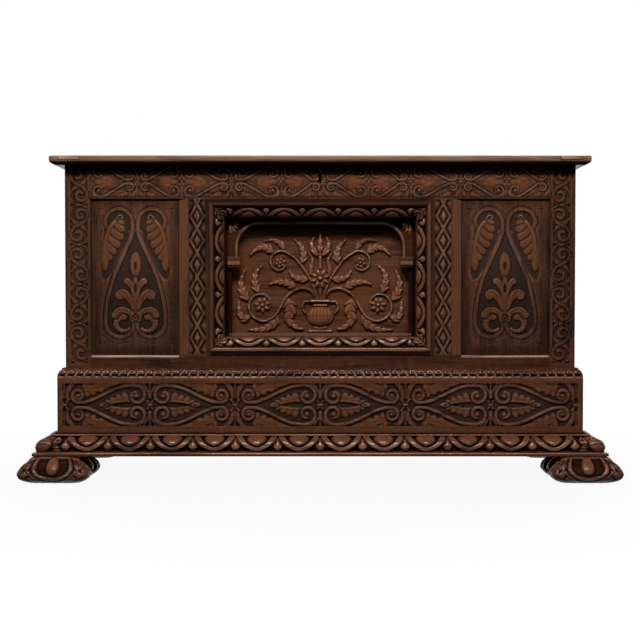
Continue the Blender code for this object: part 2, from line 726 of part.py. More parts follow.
def plinth(oak):
    """The plinth: carved boards, their two mouldings, a low back board and four feet."""
    around_plinth("base", base_board_profile(), PLINTH_TOP, oak)
    for word in ("front", "left", "right"):
        bpy.data.objects[f"base_{word}"].name = f"base_{word}_board"
    around_plinth("rope_moulding", rope_profile(), BASE_TOP, oak)
    around_plinth("lunette_moulding", lunette_profile(), FOOT_HEIGHT, oak)
    low, high = base_back_heights()
    width = grown((-STILE_INNER, STILE_INNER), -FIT)
    back = board("base_back_board", width, (BACK - RAIL_THICKNESS, BACK), (low, high), oak)
    for side in (LEFT, RIGHT):
        reach = mirrored((STILE_INNER - FIT - LAP, STILE_INNER + BASE_BACK_TENON), side)
        join(back, reach, base_back_tenon(), (low, high))
    half_top = FOOT_TOP_WIDTH / 2
    out = PLINTH_FILLET_REACH - half_top
    rear_y = BACK - half_top - FOOT_BULGE
    for side in (LEFT, RIGHT):
        word = side_word(side)
        cushion_foot(f"front_{word}_foot", side * (SIDE + out), FRONT - out, oak)
        cushion_foot(f"rear_{word}_foot", side * (SIDE + out), rear_y, oak)


def lid_boards(hinge, oak):
    """Two long boards with a cleat across each end, noses rounded on the three show edges."""
    front, middle = FRONT - LID_OVERHANG, (FRONT - LID_OVERHANG + BACK) / 2
    outer = SIDE + LID_OVERHANG
    inner = outer - CLEAT_WIDTH
    heights = (LID_LOW, LID_HIGH)
    spans = {"front": (front, middle - FIT / 2), "rear": (middle + FIT / 2, BACK)}
    centre = (LID_LOW + LID_HIGH) / 2
    tongue_heights = grown((centre, centre), CLEAT_TONGUE_THICKNESS / 2)
    near = LAP / 4
    made = {}
    for word, depth in spans.items():
        width = (-inner + FIT / 2, inner - FIT / 2)
        plank = board(f"lid_{word}_board", width, depth, heights, oak, hinge)
        if word == "front":
            round_nose(plank, lambda p: p.y < front + near)
        low = max(depth[0], front + CLEAT_TONGUE_MARGIN)
        high = min(depth[1], BACK - CLEAT_TONGUE_MARGIN)
        for side in (LEFT, RIGHT):
            reach = mirrored((inner - FIT - LAP, inner + CLEAT_TONGUE_LENGTH), side)
            join(plank, reach, (low, high), tongue_heights)
        made[word] = plank
    for side in (LEFT, RIGHT):
        width = mirrored((inner + FIT / 2, outer), side)
        cleat = board(f"lid_{side_word(side)}_cleat", width, (front, BACK), heights, oak, hinge)
        round_nose(cleat, lambda p, s=side: p.y < front + near or p.x * s > outer - near)
        slot = mirrored((inner - LAP, inner + CLEAT_TONGUE_LENGTH + FIT), side)
        depth = grown((front, BACK), FIT - CLEAT_TONGUE_MARGIN)
        cut(cleat, slot, depth, grown(tongue_heights, FIT))
    return made


def round_nose(piece, shows):
    """Rounds the top and the underside of a lid piece along the edges that show."""
    near = LAP / 4
    round_edges(piece, lambda p: p.z > LID_HIGH - near and shows(p), LID_NOSE_TOP)
    round_edges(piece, lambda p: p.z < LID_LOW + near and shows(p), LID_NOSE_BOTTOM)


def knuckle_spans():
    """The widths, from a hinge's middle, of the frame leaf's knuckle and of the lid leaf's two."""
    third = HINGE_LENGTH / 3
    middle = (-third / 2, third / 2)
    return {"frame": [middle], "lid": [(-HINGE_LENGTH / 2, middle[0]), (middle[1], HINGE_LENGTH / 2)]}


def hinge_leaf(side, owner, parent, iron):
    """One leaf: a plate let into the wood, rolled into knuckles behind it."""
    x = side * HINGE_SPAN / 2
    way = 1 if owner == "lid" else -1
    inner = HINGE_Z + way * HINGE_LEAF_GAP / 2
    heights = tuple(sorted((inner, inner + way * HINGE_LEAF_THICKNESS)))
    width = grown((x, x), HINGE_LENGTH / 2)
    depth = (BACK - HINGE_LEAF_WIDTH, HINGE_Y)
    name = f"hinge_{side_word(side)}_{owner}_leaf"
    leaf = board(name, width, depth, heights, iron, parent)
    other = "frame" if owner == "lid" else "lid"
    clear = KNUCKLE_GAP / 2
    room = KNUCKLE_RADIUS + FIT
    for low, high in knuckle_spans()[other]:
        span = (x + low - clear, x + high + clear)
        cut(leaf, span, (HINGE_Y - room, HINGE_Y + room), grown((HINGE_Z, HINGE_Z), room))
    for low, high in knuckle_spans()[owner]:
        start = Vector((x + low + clear * (low > -HINGE_LENGTH / 2), HINGE_Y, HINGE_Z))
        end = x + high - clear * (high < HINGE_LENGTH / 2)
        boolean(leaf, tool(rod_bmesh(start, KNUCKLE_RADIUS, X_AXIS * (end - start.x))), "UNION")
    bore_start = Vector((x - HINGE_LENGTH / 2 - LAP, HINGE_Y, HINGE_Z))
    bore = rod_bmesh(bore_start, PIN_RADIUS + PIN_CLEARANCE, X_AXIS * (HINGE_LENGTH + 2 * LAP))
    boolean(leaf, tool(bore), "DIFFERENCE")
    return leaf


def hinges(lid, back_rail, hinge, iron):
    """Two butt hinges, let into the back rail and into the lid, each on its own pin."""
    leaf_room = HINGE_LEAF_GAP / 2 + HINGE_LEAF_THICKNESS + FIT
    for side in (LEFT, RIGHT):
        x = side * HINGE_SPAN / 2
        for owner, parent in (("frame", None), ("lid", hinge)):
            hinge_leaf(side, owner, parent, iron)
        pocket_x = grown((x, x), HINGE_LENGTH / 2 + FIT)
        pocket_y = (BACK - HINGE_LEAF_WIDTH - FIT, BACK + LAP)
        cut(back_rail, pocket_x, pocket_y, (HINGE_Z - leaf_room, CARCASE_TOP + LAP))
        cut(lid["rear"], pocket_x, pocket_y, (LID_LOW - LAP, HINGE_Z + leaf_room))
        start = Vector((x - HINGE_LENGTH / 2 - PIN_END, HINGE_Y, HINGE_Z))
        pin = rod_bmesh(start, PIN_RADIUS, X_AXIS * (HINGE_LENGTH + 2 * PIN_END))
        link(f"hinge_{side_word(side)}_pin", pin, Vector((x, HINGE_Y, HINGE_Z)), iron)


def lock_levels():
    """Depths and heights that the lock's pieces share."""
    plate = FRONT + RAIL_THICKNESS + FIT
    case = plate + LOCK_PLATE_THICKNESS + FIT
    top = CARCASE_TOP - FIT
    return {
        "plate": plate,
        "case": case,
        "top": top,
        "floor": top - LOCK_CASE_HEIGHT + LOCK_WALL,
        "middle": case + (LOCK_CASE_DEPTH - LOCK_WALL) / 2,
        "eye_low": CARCASE_TOP - LINK_DROP + LINK_EYE_WALL,
    }


def cut_keyhole(piece, depth):
    """Cuts the keyhole, a round head over a straight slot, through a piece."""
    head = Vector((0, depth[0], CARCASE_TOP - KEYHOLE_DROP))
    boolean(piece, tool(rod_bmesh(head, KEYHOLE_RADIUS, Y_AXIS * (depth[1] - depth[0]))), "DIFFERENCE")
    half = KEYHOLE_SLOT_WIDTH / 2
    cut(piece, (-half, half), depth, (head.z - KEYHOLE_SLOT_LENGTH, head.z))


def lock_shell(iron):
    """The lock's plate on the rail, and its case with slots for the lid's links."""
    at = lock_levels()
    half_plate, half_case = LOCK_PLATE_WIDTH / 2, LOCK_CASE_WIDTH / 2
    plate_depth = (at["plate"], at["plate"] + LOCK_PLATE_THICKNESS)
    plate_heights = (at["top"] - LOCK_PLATE_HEIGHT, at["top"])
    plate = board("lock_plate", (-half_plate, half_plate), plate_depth, plate_heights, iron)
    cut_keyhole(plate, grown(plate_depth, LAP))
    depth = (at["case"], at["case"] + LOCK_CASE_DEPTH)
    heights = (at["top"] - LOCK_CASE_HEIGHT, at["top"])
    case = board("lock_case", (-half_case, half_case), depth, heights, iron)
    inside = grown((-half_case, half_case), -LOCK_WALL)
    cut(case, inside, (depth[0] - LAP, depth[1] - LOCK_WALL), grown(heights, -LOCK_WALL))
    room = LINK_SLOT_CLEARANCE
    for side in (LEFT, RIGHT):
        x = side * LINK_SPACING / 2
        slot = grown((x, x), LINK_THICKNESS / 2 + room)
        slot_depth = grown((at["middle"], at["middle"]), LINK_DEPTH / 2 + room)
        cut(case, slot, slot_depth, (at["top"] - LOCK_WALL - LAP, at["top"] + LAP))
    post_y = depth[1] - LOCK_WALL - FIT
    post_start = Vector((0, post_y, CARCASE_TOP - KEYHOLE_DROP))
    post = rod_bmesh(post_start, KEY_POST_RADIUS, -Y_AXIS * KEY_POST_LENGTH)
    link("key_post", post, post_start, iron)


def bolt_outline():
    """The bolt seen from the front: a notched bar with two arms, each ending in a prong."""
    at = lock_levels()
    low = at["floor"] + FIT
    bar = low + BOLT_BAR_HEIGHT
    prong_low = at["eye_low"] + (LINK_EYE_HEIGHT - BOLT_PRONG_HEIGHT) / 2
    prong_high = prong_low + BOLT_PRONG_HEIGHT
    tips = [side * LINK_SPACING / 2 - LINK_THICKNESS / 2 - BOLT_STANDOFF for side in (LEFT, RIGHT)]
    feet = [tip - BOLT_TRAVEL - BOLT_ARM_WIDTH for tip in tips]
    end = LOCK_CASE_WIDTH / 2 - LOCK_WALL - BOLT_TRAVEL - FIT
    outline = [(feet[0], low), (end, low), (end, bar)]
    half = BOLT_TALON_WIDTH / 2
    middle = (feet[0] + feet[1] + BOLT_ARM_WIDTH) / 2
    talon = [
        (middle + half, bar),
        (middle + half, bar - BOLT_TALON_DEPTH),
        (middle - half, bar - BOLT_TALON_DEPTH),
        (middle - half, bar),
    ]
    for tip, foot, notch in ((tips[1], feet[1], talon), (tips[0], feet[0], [])):
        arm = foot + BOLT_ARM_WIDTH
        outline += [(arm, bar), (arm, prong_low), (tip, prong_low), (tip, prong_high)]
        outline += [(foot, prong_high)] + ([(foot, bar), *notch] if notch else [])
    return outline


def lock_works(iron):
    """The sliding bolt, and the flat spring that bears on it."""
    at = lock_levels()
    start = Vector((0, at["middle"] - BOLT_THICKNESS / 2, 0))
    points = [Vector((x, 0, z)) for x, z in bolt_outline()]
    bolt = prism_bmesh(points, start, Y_AXIS * BOLT_THICKNESS)
    link("lock_bolt", bolt, Vector((0, at["middle"], at["floor"])), iron)
    wall = LOCK_CASE_WIDTH / 2 - LOCK_WALL - FIT
    bar = at["floor"] + FIT + BOLT_BAR_HEIGHT + FIT
    sweep = arc((wall - SPRING_RUN, bar + SPRING_RISE), (SPRING_RUN, SPRING_RISE), -90, 0)
    inner = arc(
        (wall - SPRING_RUN, bar + SPRING_RISE),
        (SPRING_RUN - SPRING_THICKNESS, SPRING_RISE - SPRING_THICKNESS),
        0,
        -90,
    )
    points = [Vector((x, 0, z)) for x, z in sweep + inner]
    spring = prism_bmesh(points, start, Y_AXIS * BOLT_THICKNESS)
    link("lock_spring", spring, Vector((wall, at["middle"], bar)), iron)


def link_plate(lid, hinge, iron):
    """The plate under the lid, with two eyes that drop into the lock."""
    at = lock_levels()
    heights = (LID_LOW, LID_LOW + LINK_PLATE_THICKNESS)
    width = (-LINK_PLATE_LENGTH / 2, LINK_PLATE_LENGTH / 2)
    depth = grown((at["middle"], at["middle"]), LINK_PLATE_WIDTH / 2)
    plate = board("link_plate", width, depth, heights, iron, hinge)
    cut(lid["front"], grown(width, FIT), grown(depth, FIT), (LID_LOW - LAP, heights[1] + FIT))
    low = CARCASE_TOP - LINK_DROP
    for side in (LEFT, RIGHT):
        x = grown((side * LINK_SPACING / 2,) * 2, LINK_THICKNESS / 2)
        eye_depth = grown((at["middle"], at["middle"]), LINK_DEPTH / 2)
        join(plate, x, eye_depth, (low, LID_LOW + LINK_PLATE_THICKNESS / 2))
    eye = (at["eye_low"], at["eye_low"] + LINK_EYE_HEIGHT)
    half = (BOLT_THICKNESS + 2 * FIT) / 2
    cut(plate, grown(width, LAP), grown((at["middle"], at["middle"]), half), eye)
    return plate


def main():
    """Builds the coffer, from the stiles outwards."""
    clear_scene()
    oak = finish("dark_oak", (0.085, 0.040, 0.022), 0.45)
    plain_oak = finish("plain_oak", (0.110, 0.058, 0.032), 0.55)
    iron = finish("wrought_iron", (0.045, 0.042, 0.040), 0.5, 0.9)
    for side in (LEFT, RIGHT):
        for end in ("front", "rear"):
            corner_stile(side, end, oak)
    front_frame(oak)
    end_frames(oak)
    back_rail = back_frame(plain_oak)
    floor_boards(plain_oak)
    picture_frame(oak)
    picture(oak)
    plinth(oak)
    hinge = bpy.data.objects.new("lid_hinge", None)
    hinge.location = (0, HINGE_Y, HINGE_Z)
    bpy.context.scene.collection.objects.link(hinge)
    lid = lid_boards(hinge, oak)
    hinges(lid, back_rail, hinge, iron)
    lock_shell(iron)
    lock_works(iron)
    link_plate(lid, hinge, iron)


main()
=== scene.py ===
"""Carved oak coffer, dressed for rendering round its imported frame.

Each carved piece is a fine grid whose points are moved to a height map, as a carver sinks the ground
round a drawing. The map is in millimetres; the meshes are in metres, in the frame's own place.
"""
import logging
import math
from dataclasses import dataclass, field, replace
from enum import Enum
from functools import cache
from typing import Any, ClassVar, Optional, Sequence

import bmesh
import bpy
import numpy as np
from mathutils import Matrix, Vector


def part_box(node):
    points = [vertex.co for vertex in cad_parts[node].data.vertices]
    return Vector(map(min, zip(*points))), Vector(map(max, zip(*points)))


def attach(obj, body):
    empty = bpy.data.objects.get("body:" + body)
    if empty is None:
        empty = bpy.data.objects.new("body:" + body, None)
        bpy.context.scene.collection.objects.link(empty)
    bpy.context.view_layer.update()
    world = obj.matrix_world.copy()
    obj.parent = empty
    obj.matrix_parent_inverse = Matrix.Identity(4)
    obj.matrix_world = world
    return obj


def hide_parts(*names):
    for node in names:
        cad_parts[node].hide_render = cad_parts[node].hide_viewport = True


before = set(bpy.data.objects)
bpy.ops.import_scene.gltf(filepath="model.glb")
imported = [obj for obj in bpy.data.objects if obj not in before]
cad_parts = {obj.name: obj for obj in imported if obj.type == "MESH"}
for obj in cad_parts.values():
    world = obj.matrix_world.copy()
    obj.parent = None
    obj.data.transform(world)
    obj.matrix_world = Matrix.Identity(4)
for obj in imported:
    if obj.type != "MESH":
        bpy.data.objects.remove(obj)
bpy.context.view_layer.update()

MM = 0.001
LOG = logging.getLogger("coffer")
MARKS = ("wear_and_highlight", "recess", "warm")  # what a carved piece tells its finish at every point
DARKEST = 0.95  # even the dirtiest cut lets a little wood show
TINY = 1e-6
FAR = 1e6  # farther than any point of the coffer, in millimetres
STEPS = 8  # short lines between two points of a smooth line
DRAWN = 117.0  # the height at which the base's hearts and ties are drawn
CARVED_CREASE = 62.0  # surfaces are shaded round up to this turn, in degrees
PLAIN_CREASE = 35.0

Point = tuple[float, float]
Path = np.ndarray
Window = tuple[slice, slice]


class Grain(Enum):
    """The way the oak's grain runs in a piece: its axis and its name."""

    LONG = (0, "lengthwise")
    DEEP = (1, "front to back")
    UPRIGHT = (2, "upright")


class Side(Enum):
    """The coffer's left and right, seen from the front."""

    LEFT = -1
    RIGHT = 1

    @property
    def word(self) -> str:
        """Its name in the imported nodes."""
        return self.name.lower()


class Body(Enum):
    """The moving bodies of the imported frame."""

    CARCASE = "carcase"
    LID = "lid"
    BOLT = "bolt"


class Slot(Enum):
    """The record's material slots."""

    CARVED = "carved_oak"
    LID = "lid_oak"
    PLAIN = "plain_oak"
    IRON = "wrought_iron"


# Nodes and finishes


def linear(code: str) -> tuple[float, float, float, float]:
    """Turn an sRGB hex colour into linear red, green, blue and alpha.

    Args:
        code: the colour, such as "#4a2e21".

    Returns:
        The four linear values.
    """
    parts = [int(code[i : i + 2], 16) / 255 for i in (1, 3, 5)]
    red, green, blue = (p / 12.92 if p <= 0.04045 else ((p + 0.055) / 1.055) ** 2.4 for p in parts)
    return red, green, blue, 1.0


def fill(node: bpy.types.Node, inputs: dict[Any, Any]) -> None:
    """Set a node's inputs, each to a value or to another node's output.

    Args:
        node: the node.
        inputs: socket name or number, to a value or to another node's output.
    """
    for key, value in inputs.items():
        if isinstance(value, bpy.types.NodeSocket):
            node.id_data.links.new(value, node.inputs[key])
        else:
            node.inputs[key].default_value = value


def add_node(
    tree: bpy.types.NodeTree,
    kind: str,
    inputs: Optional[dict[Any, Any]] = None,
    output: Any = 0,
    **settings: Any,
) -> bpy.types.NodeSocket:
    """Add one shader node with its settings, its values and its links.

    Args:
        tree: the node tree.
        kind: the node's Blender type, after its first word ShaderNode.
        inputs: socket name or number, to a value or to another node's output.
        output: the name or number of the output that is wanted.
        settings: the node's own properties.

    Returns:
        That output of the new node.
    """
    node = tree.nodes.new("ShaderNode" + kind)
    for key, value in settings.items():
        setattr(node, key, value)
    fill(node, inputs or {})
    return node.outputs[output]


@dataclass(frozen=True)
class OakFinish:
    """Old oak, stained dark, waxed and rubbed.

    It gives the eye a streaked brown, nearly black in the cuts, where wax lies and shade is painted, and a
    redder, paler and smoother brown on the high places, which hands and dusters have worn and where
    highlights are painted.
    """

    name: str
    dark: str
    light: str
    ember: str
    worn_and_lit: str
    grain: Grain = Grain.LONG
    # the cuts' tint: dark wax, and painted shade in creases, hollows and shadowed places
    wax_and_shade: str = "#0a0503"
    sunken: str = "#33251f"  # dust and old wax leave the sunk ground greyer
    roughness: float = 0.36
    gloss: float = 0.025
    polish: float = 0.1  # hands leave the high places glossier
    figure_mm: float = 24.0
    streak_mm: float = 5.0  # the pores are about 0.3 mm apart, drawn coarser so that they show
    figure_run: float = 0.09  # along the grain, figure and streaks are longer by one over these
    streak_run: float = 0.04
    patch_mm: float = 150.0
    pore_mm: float = 0.9  # how deep the open grain is
    ior: float = 1.5

    def along(self, grain: Grain) -> "OakFinish":
        """The same finish on a board whose grain runs another way."""
        return replace(self, grain=grain)

    def stretched(self, ratio: float) -> tuple[float, float, float]:
        """Scale of a pattern that is drawn out along the grain."""
        return tuple(ratio if axis == self.grain.value[0] else 1.0 for axis in range(3))

    @cache
    def material(self) -> bpy.types.Material:
        """Build the finish, once.

        Returns:
            The material.
        """
        made = bpy.data.materials.new(f"{self.name} {self.grain.value[1]}")
        made.use_nodes = True
        tree = made.node_tree
        place = add_node(tree, "TexCoord", output="Object")
        long_grain, fine_grain = (
            add_node(tree, "Mapping", {"Vector": place, "Scale": self.stretched(ratio)})
            for ratio in (self.figure_run, self.streak_run)
        )
        figure, streak, patch = (
            add_node(tree, "TexNoise", {"Vector": where, "Scale": 1 / (size * MM), **how})
            for where, size, how in (
                (long_grain, self.figure_mm, {"Detail": 5, "Distortion": 0.9}),
                (fine_grain, self.streak_mm, {"Detail": 4, "Roughness": 0.65}),
                (place, self.patch_mm, {"Detail": 4, "Roughness": 0.6}),
            )
        )
        wear_and_highlight, recess, warm = (add_node(tree, "Attribute", None, "Fac", attribute_name=key) for key in MARKS)
        both = add_node(tree, "Math", {0: figure, 1: streak}, operation="ADD")
        tone = add_node(tree, "MapRange", {"Value": both, "From Min": 0.8, "From Max": 1.16})
        blotches = {"From Min": 0.36, "From Max": 0.68, "To Max": 0.6}
        mottle = add_node(tree, "MapRange", {"Value": patch, **blotches})
        mix = {"operation": "MULTIPLY_ADD"}
        rubbed_and_lit = add_node(tree, "Math", {0: wear_and_highlight, 1: tone, 2: 0.1}, use_clamp=True, **mix)
        rubbed_and_lit = add_node(tree, "Math", {0: rubbed_and_lit, 1: wear_and_highlight}, operation="MINIMUM")
        redder = add_node(tree, "Math", {0: warm, 1: 0.7, 2: mottle}, use_clamp=True, **mix)
        dusty = add_node(tree, "Math", {0: warm, 1: -0.8}, operation="MULTIPLY", use_clamp=True)
        colour = linear(self.dark)
        # the last tint is laid where the cuts hold wax and where shade is painted
        tints = (self.light, self.ember, self.sunken, self.worn_and_lit, self.wax_and_shade)
        # the worn tint is laid on the high places: wear, and painted highlight
        for part, tint in zip((tone, redder, dusty, rubbed_and_lit, recess), tints):
            colour = add_node(tree, "Mix", {0: part, 6: colour, 7: linear(tint)}, 2, data_type="RGBA")
        sheen = {"To Min": self.roughness + 0.09, "To Max": self.roughness - 0.07}
        rough = add_node(tree, "MapRange", {"Value": streak, "From Min": 0.3, "From Max": 0.7, **sheen})
        rough = add_node(tree, "Math", {0: recess, 1: 0.35, 2: rough}, **mix)
        rough = add_node(tree, "Math", {0: wear_and_highlight, 1: -0.14, 2: rough}, **mix)
        waxed = {"From Max": 0.5, "To Min": self.gloss, "To Max": 0.0}
        shine = add_node(tree, "MapRange", {"Value": recess, **waxed})
        shine = add_node(tree, "Math", {0: rubbed_and_lit, 1: self.polish, 2: shine}, **mix)
        bump = add_node(tree, "Bump", {"Strength": 0.5, "Distance": self.pore_mm * MM, "Height": both})
        looks = {"Base Color": colour, "Roughness": rough, "Normal": bump, "Specular IOR Level": shine}
        fill(tree.nodes["Principled BSDF"], {**looks, "IOR": self.ior})
        return made


@dataclass(frozen=True)
class IronFinish:
    """Forged iron, scaled black and oiled: dark, uneven, with duller rust-brown patches."""

    name: str = "forged iron"
    scale: str = "#2b2826"
    rust: str = "#4a3224"
    hammer_mm: float = 9.0
    grit_mm: float = 1.4
    dent_mm: float = 0.5
    metallic: float = 0.85

    @cache
    def material(self) -> bpy.types.Material:
        """Build the finish, once.

        Returns:
            The material.
        """
        made = bpy.data.materials.new(self.name)
        made.use_nodes = True
        tree = made.node_tree
        place = add_node(tree, "TexCoord", output="Object")
        hammer, grit = (
            add_node(tree, "TexNoise", {"Vector": place, "Scale": 1 / (size * MM), "Detail": detail})
            for size, detail in ((self.hammer_mm, 3), (self.grit_mm, 5))
        )
        bloom = add_node(tree, "MapRange", {"Value": hammer, "From Min": 0.45, "From Max": 0.7})
        tints = {6: linear(self.scale), 7: linear(self.rust)}
        colour = add_node(tree, "Mix", {0: bloom, **tints}, 2, data_type="RGBA")
        dull = add_node(tree, "MapRange", {"Value": grit, "To Min": 0.38, "To Max": 0.7})
        bump = add_node(tree, "Bump", {"Strength": 0.4, "Distance": self.dent_mm * MM, "Height": hammer})
        looks = {"Base Color": colour, "Roughness": dull, "Normal": bump}
        fill(tree.nodes["Principled BSDF"], {**looks, "Metallic": self.metallic})
        return made


CARVED = OakFinish("carved oak", dark="#1e120d", light="#442d23", ember="#502e1b", worn_and_lit="#704c39")
PLAIN = OakFinish("plain oak", dark="#1b1009", light="#3b2418", ember="#421f10", worn_and_lit="#937b70")
# lighter than the carcase's oak, partly as a painted highlight along the lid's front edge
LID = OakFinish(
    "lid oak", dark="#38261c", light="#745846", ember="#65432e", worn_and_lit="#a58266",
    roughness=0.34, gloss=0.1, figure_mm=34.0,
)
PICTURE = OakFinish(
    "picture oak", dark="#2a1811", light="#543626", ember="#5c3119", worn_and_lit="#7c5842",
    roughness=0.3, polish=0.35,
)
MOULDED = OakFinish(
    "moulded oak", dark="#1c0e0a", light="#45281c", ember="#4d2814", worn_and_lit="#7e5238",
    roughness=0.28, gloss=0.04, polish=0.5,
)
IRON = IronFinish()


# Drawn lines, in millimetres


def smooth(points: Sequence[Point]) -> Path:
    """Draw a smooth line through points.

    Args:
        points: the points, in order.

    Returns:
        The line's points.
    """
    given = np.asarray(points, float)
    held = np.vstack([2 * given[0] - given[1], given, 2 * given[-1] - given[-2]])
    t = np.linspace(0, 1, STEPS, endpoint=False)[:, None]
    runs = []
    for a, b, c, d in zip(held, held[1:], held[2:], held[3:]):
        runs.append(
            0.5 * (2 * b + (c - a) * t + (2 * a - 5 * b + 4 * c - d) * t**2 + (3 * b - a - 3 * c + d) * t**3)
        )
    return np.vstack([*runs, given[-1:]])


def spiral(centre: Point, radii: Point, turn: Point, steps: int = 40) -> Path:
    """Draw a spiral or an arc.

    Args:
        centre: its centre.
        radii: its first and last radius.
        turn: its first and last angle in degrees, anticlockwise from the right.
        steps: how many short lines it has.

    Returns:
        The spiral's points.
    """
    angle = np.radians(np.linspace(*turn, steps + 1))
    radius = np.linspace(*radii, steps + 1)
    return np.column_stack([centre[0] + radius * np.cos(angle), centre[1] + radius * np.sin(angle)])


def blurred(heights: np.ndarray, reach: int) -> np.ndarray:
    """Average a map over a square twice, so that it is smooth.

    Args:
        heights: the map.
        reach: half the square's side, in grid steps.

    Returns:
        The smoothed map.
    """
    for _ in range(2):
        for axis in (0, 1):
            wide = [(reach + 1, reach) if a == axis else (0, 0) for a in (0, 1)]
            total = np.cumsum(np.pad(heights, wide, mode="edge"), axis=axis)
            last = np.take(total, range(2 * reach + 1, total.shape[axis]), axis=axis)
            first = np.take(total, range(total.shape[axis] - 2 * reach - 1), axis=axis)
            heights = (last - first) / (2 * reach + 1)
    return heights


@dataclass
class Relief:
    """A carver's height map over a rectangle of wood, in millimetres.

    Heights run from 0, the sunk ground, to the uncut face.
    """

    u: np.ndarray
    v: np.ndarray
    face: float
    uncut: bool = False
    z: np.ndarray = field(init=False)
    wear_and_highlight: np.ndarray = field(init=False)
    recess: np.ndarray = field(init=False)
    warm: np.ndarray = field(init=False)

    def __post_init__(self) -> None:
        """Start from bare ground or from the uncut face."""
        self.z = np.full((len(self.u), len(self.v)), self.face if self.uncut else 0.0)
        self.warm = np.zeros_like(self.z)

    def window(self, u: Point, v: Point) -> Window:
        """The part of the map that lies inside a rectangle."""
        return slice(*np.searchsorted(self.u, u)), slice(*np.searchsorted(self.v, v))

    def near(self, path: Path, reach: float) -> tuple[Window, np.ndarray, np.ndarray]:
        """Measure the map's points against a line.

        Args:
            path: the line's points.
            reach: how far from it to look.

        Returns:
            The part of the map that is near, each point's distance, and its place along the line, 0 to 1.
        """
        low, high = path.min(axis=0) - reach, path.max(axis=0) + reach
        at = self.window((low[0], high[0]), (low[1], high[1]))
        u, v = self.u[at[0]], self.v[at[1]]
        far = np.full((len(u), len(v)), FAR)
        along = np.zeros_like(far)
        lengths = np.hypot(*np.diff(path, axis=0).T)
        total, start = max(lengths.sum(), 1e-9), 0.0
        for a, b, length in zip(path[:-1], path[1:], lengths):
            if length < 1e-9:
                continue
            corner, opposite = np.minimum(a, b) - reach, np.maximum(a, b) + reach
            i = slice(*np.searchsorted(u, (corner[0], opposite[0])))
            j = slice(*np.searchsorted(v, (corner[1], opposite[1])))
            du, dv = u[i, None] - a[0], v[None, j] - a[1]
            way = (b - a) / length
            run = np.clip(du * way[0] + dv * way[1], 0, length)
            off = np.hypot(du - run * way[0], dv - run * way[1])
            closer = off < far[i, j]
            far[i, j] = np.where(closer, off, far[i, j])
            along[i, j] = np.where(closer, (start + run) / total, along[i, j])
            start += length
        return at, far, along

    def lower_to(self, at: Window, inside: np.ndarray, heights: Any) -> None:
        """Cut away the wood that is higher than a shape."""
        self.z[at] = np.where(inside, np.minimum(self.z[at], heights), self.z[at])

    def raise_to(self, at: Window, inside: np.ndarray, heights: np.ndarray, warm: float = 0.0) -> None:
        """Leave wood standing where it is higher than what is there.

        Args:
            at: the part of the map.
            inside: where the shape lies.
            heights: its height.
            warm: how red the wax has left it.
        """
        higher = inside & (heights > self.z[at])
        self.z[at] = np.where(higher, heights, self.z[at])
        self.warm[at] = np.where(higher, warm, self.warm[at])

    def strap(
        self,
        path: Path,
        width: float,
        rise: float,
        hollow: float = 0.0,
        taper: Point = (1.0, 1.0),
        moat: float = 0.0,
        shoulder: float = 0.4,
        warm: float = 0.0,
    ) -> None:
        """Leave a band standing along a line.

        Args:
            path: the line.
            width: the band's width.
            rise: its height over the ground.
            hollow: how deep its middle is scooped.
            taper: its width at each end, as a part of the whole.
            moat: how wide a ditch is cut round it.
            shoulder: how much of each half is rounded over.
            warm: how red the wax has left it.
        """
        at, far, along = self.near(path, width / 2 + moat + 1)
        half = width / 2 * (taper[0] + (taper[1] - taper[0]) * along)
        part = far / np.maximum(half, TINY)
        if moat:
            self.lower_to(at, far < half + moat, 0.15 * rise)
        edge = np.clip((1 - part) / shoulder, 0, 1)
        heights = rise * np.sqrt(1 - (1 - edge) ** 2) - hollow * np.clip(1 - (part / 0.62) ** 2, 0, None)
        self.raise_to(at, part < 1, heights, warm)

    def leaf(
        self, path: Path, width: float, rise: float, lobes: float = 4, moat: float = 1.0
    ) -> None:
        """Leave a lobed leaf standing along its rib.

        Args:
            path: the rib, from the stalk to the tip.
            width: the widest place.
            rise: its height over the ground.
            lobes: how many lobes each side has.
            moat: how wide a ditch is cut round it.
        """
        at, far, along = self.near(path, width / 2 + moat + 1)
        body = np.minimum(along / 0.22, 1) ** 0.5 * np.clip((1 - along) / 0.75, 0, 1) ** 0.7
        phase = (lobes * along - 1.4 * far / width) % 1.0  # the lobes lean towards the tip
        tooth = phase**0.7 * np.clip((1 - phase) / 0.16, 0, 1) ** 0.5
        half = np.maximum(width / 2 * body * (0.58 + 0.46 * tooth), TINY)
        part = far / half
        if moat:
            self.lower_to(at, far < half + moat, 0.15 * rise)
        dome = np.sqrt(np.clip(1 - part**2, 0, 1))
        vein = np.exp(-(((phase - 0.97) / 0.13) ** 2)) + np.exp(-(((phase + 0.03) / 0.13) ** 2))
        heights = rise * (0.62 + 0.38 * dome) * (1 - 0.42 * vein * np.clip(2 * part, 0, 1))
        heights = heights - 0.28 * rise * np.exp(-((far / 1.5) ** 2)) * np.clip(1.2 - along, 0, 1)
        self.raise_to(at, part < 1, heights, warm=1.0)

    def oval(self, ends: Path, width: float) -> tuple[Window, np.ndarray]:
        """Measure an oval between two points.

        Args:
            ends: the ends of its long axis.
            width: its short axis.

        Returns:
            The part of the map it lies in, and each point's place: 0 in the middle, 1 on the rim.
        """
        centre, axis = ends.mean(axis=0), (ends[1] - ends[0]) / 2
        long = max(float(np.hypot(*axis)), TINY)
        reach = max(long, width / 2) + 1
        at = self.window(*((middle - reach, middle + reach) for middle in centre))
        du, dv = self.u[at[0], None] - centre[0], self.v[None, at[1]] - centre[1]
        way = axis / long
        return at, np.hypot((du * way[0] + dv * way[1]) / long, (dv * way[0] - du * way[1]) / (width / 2))

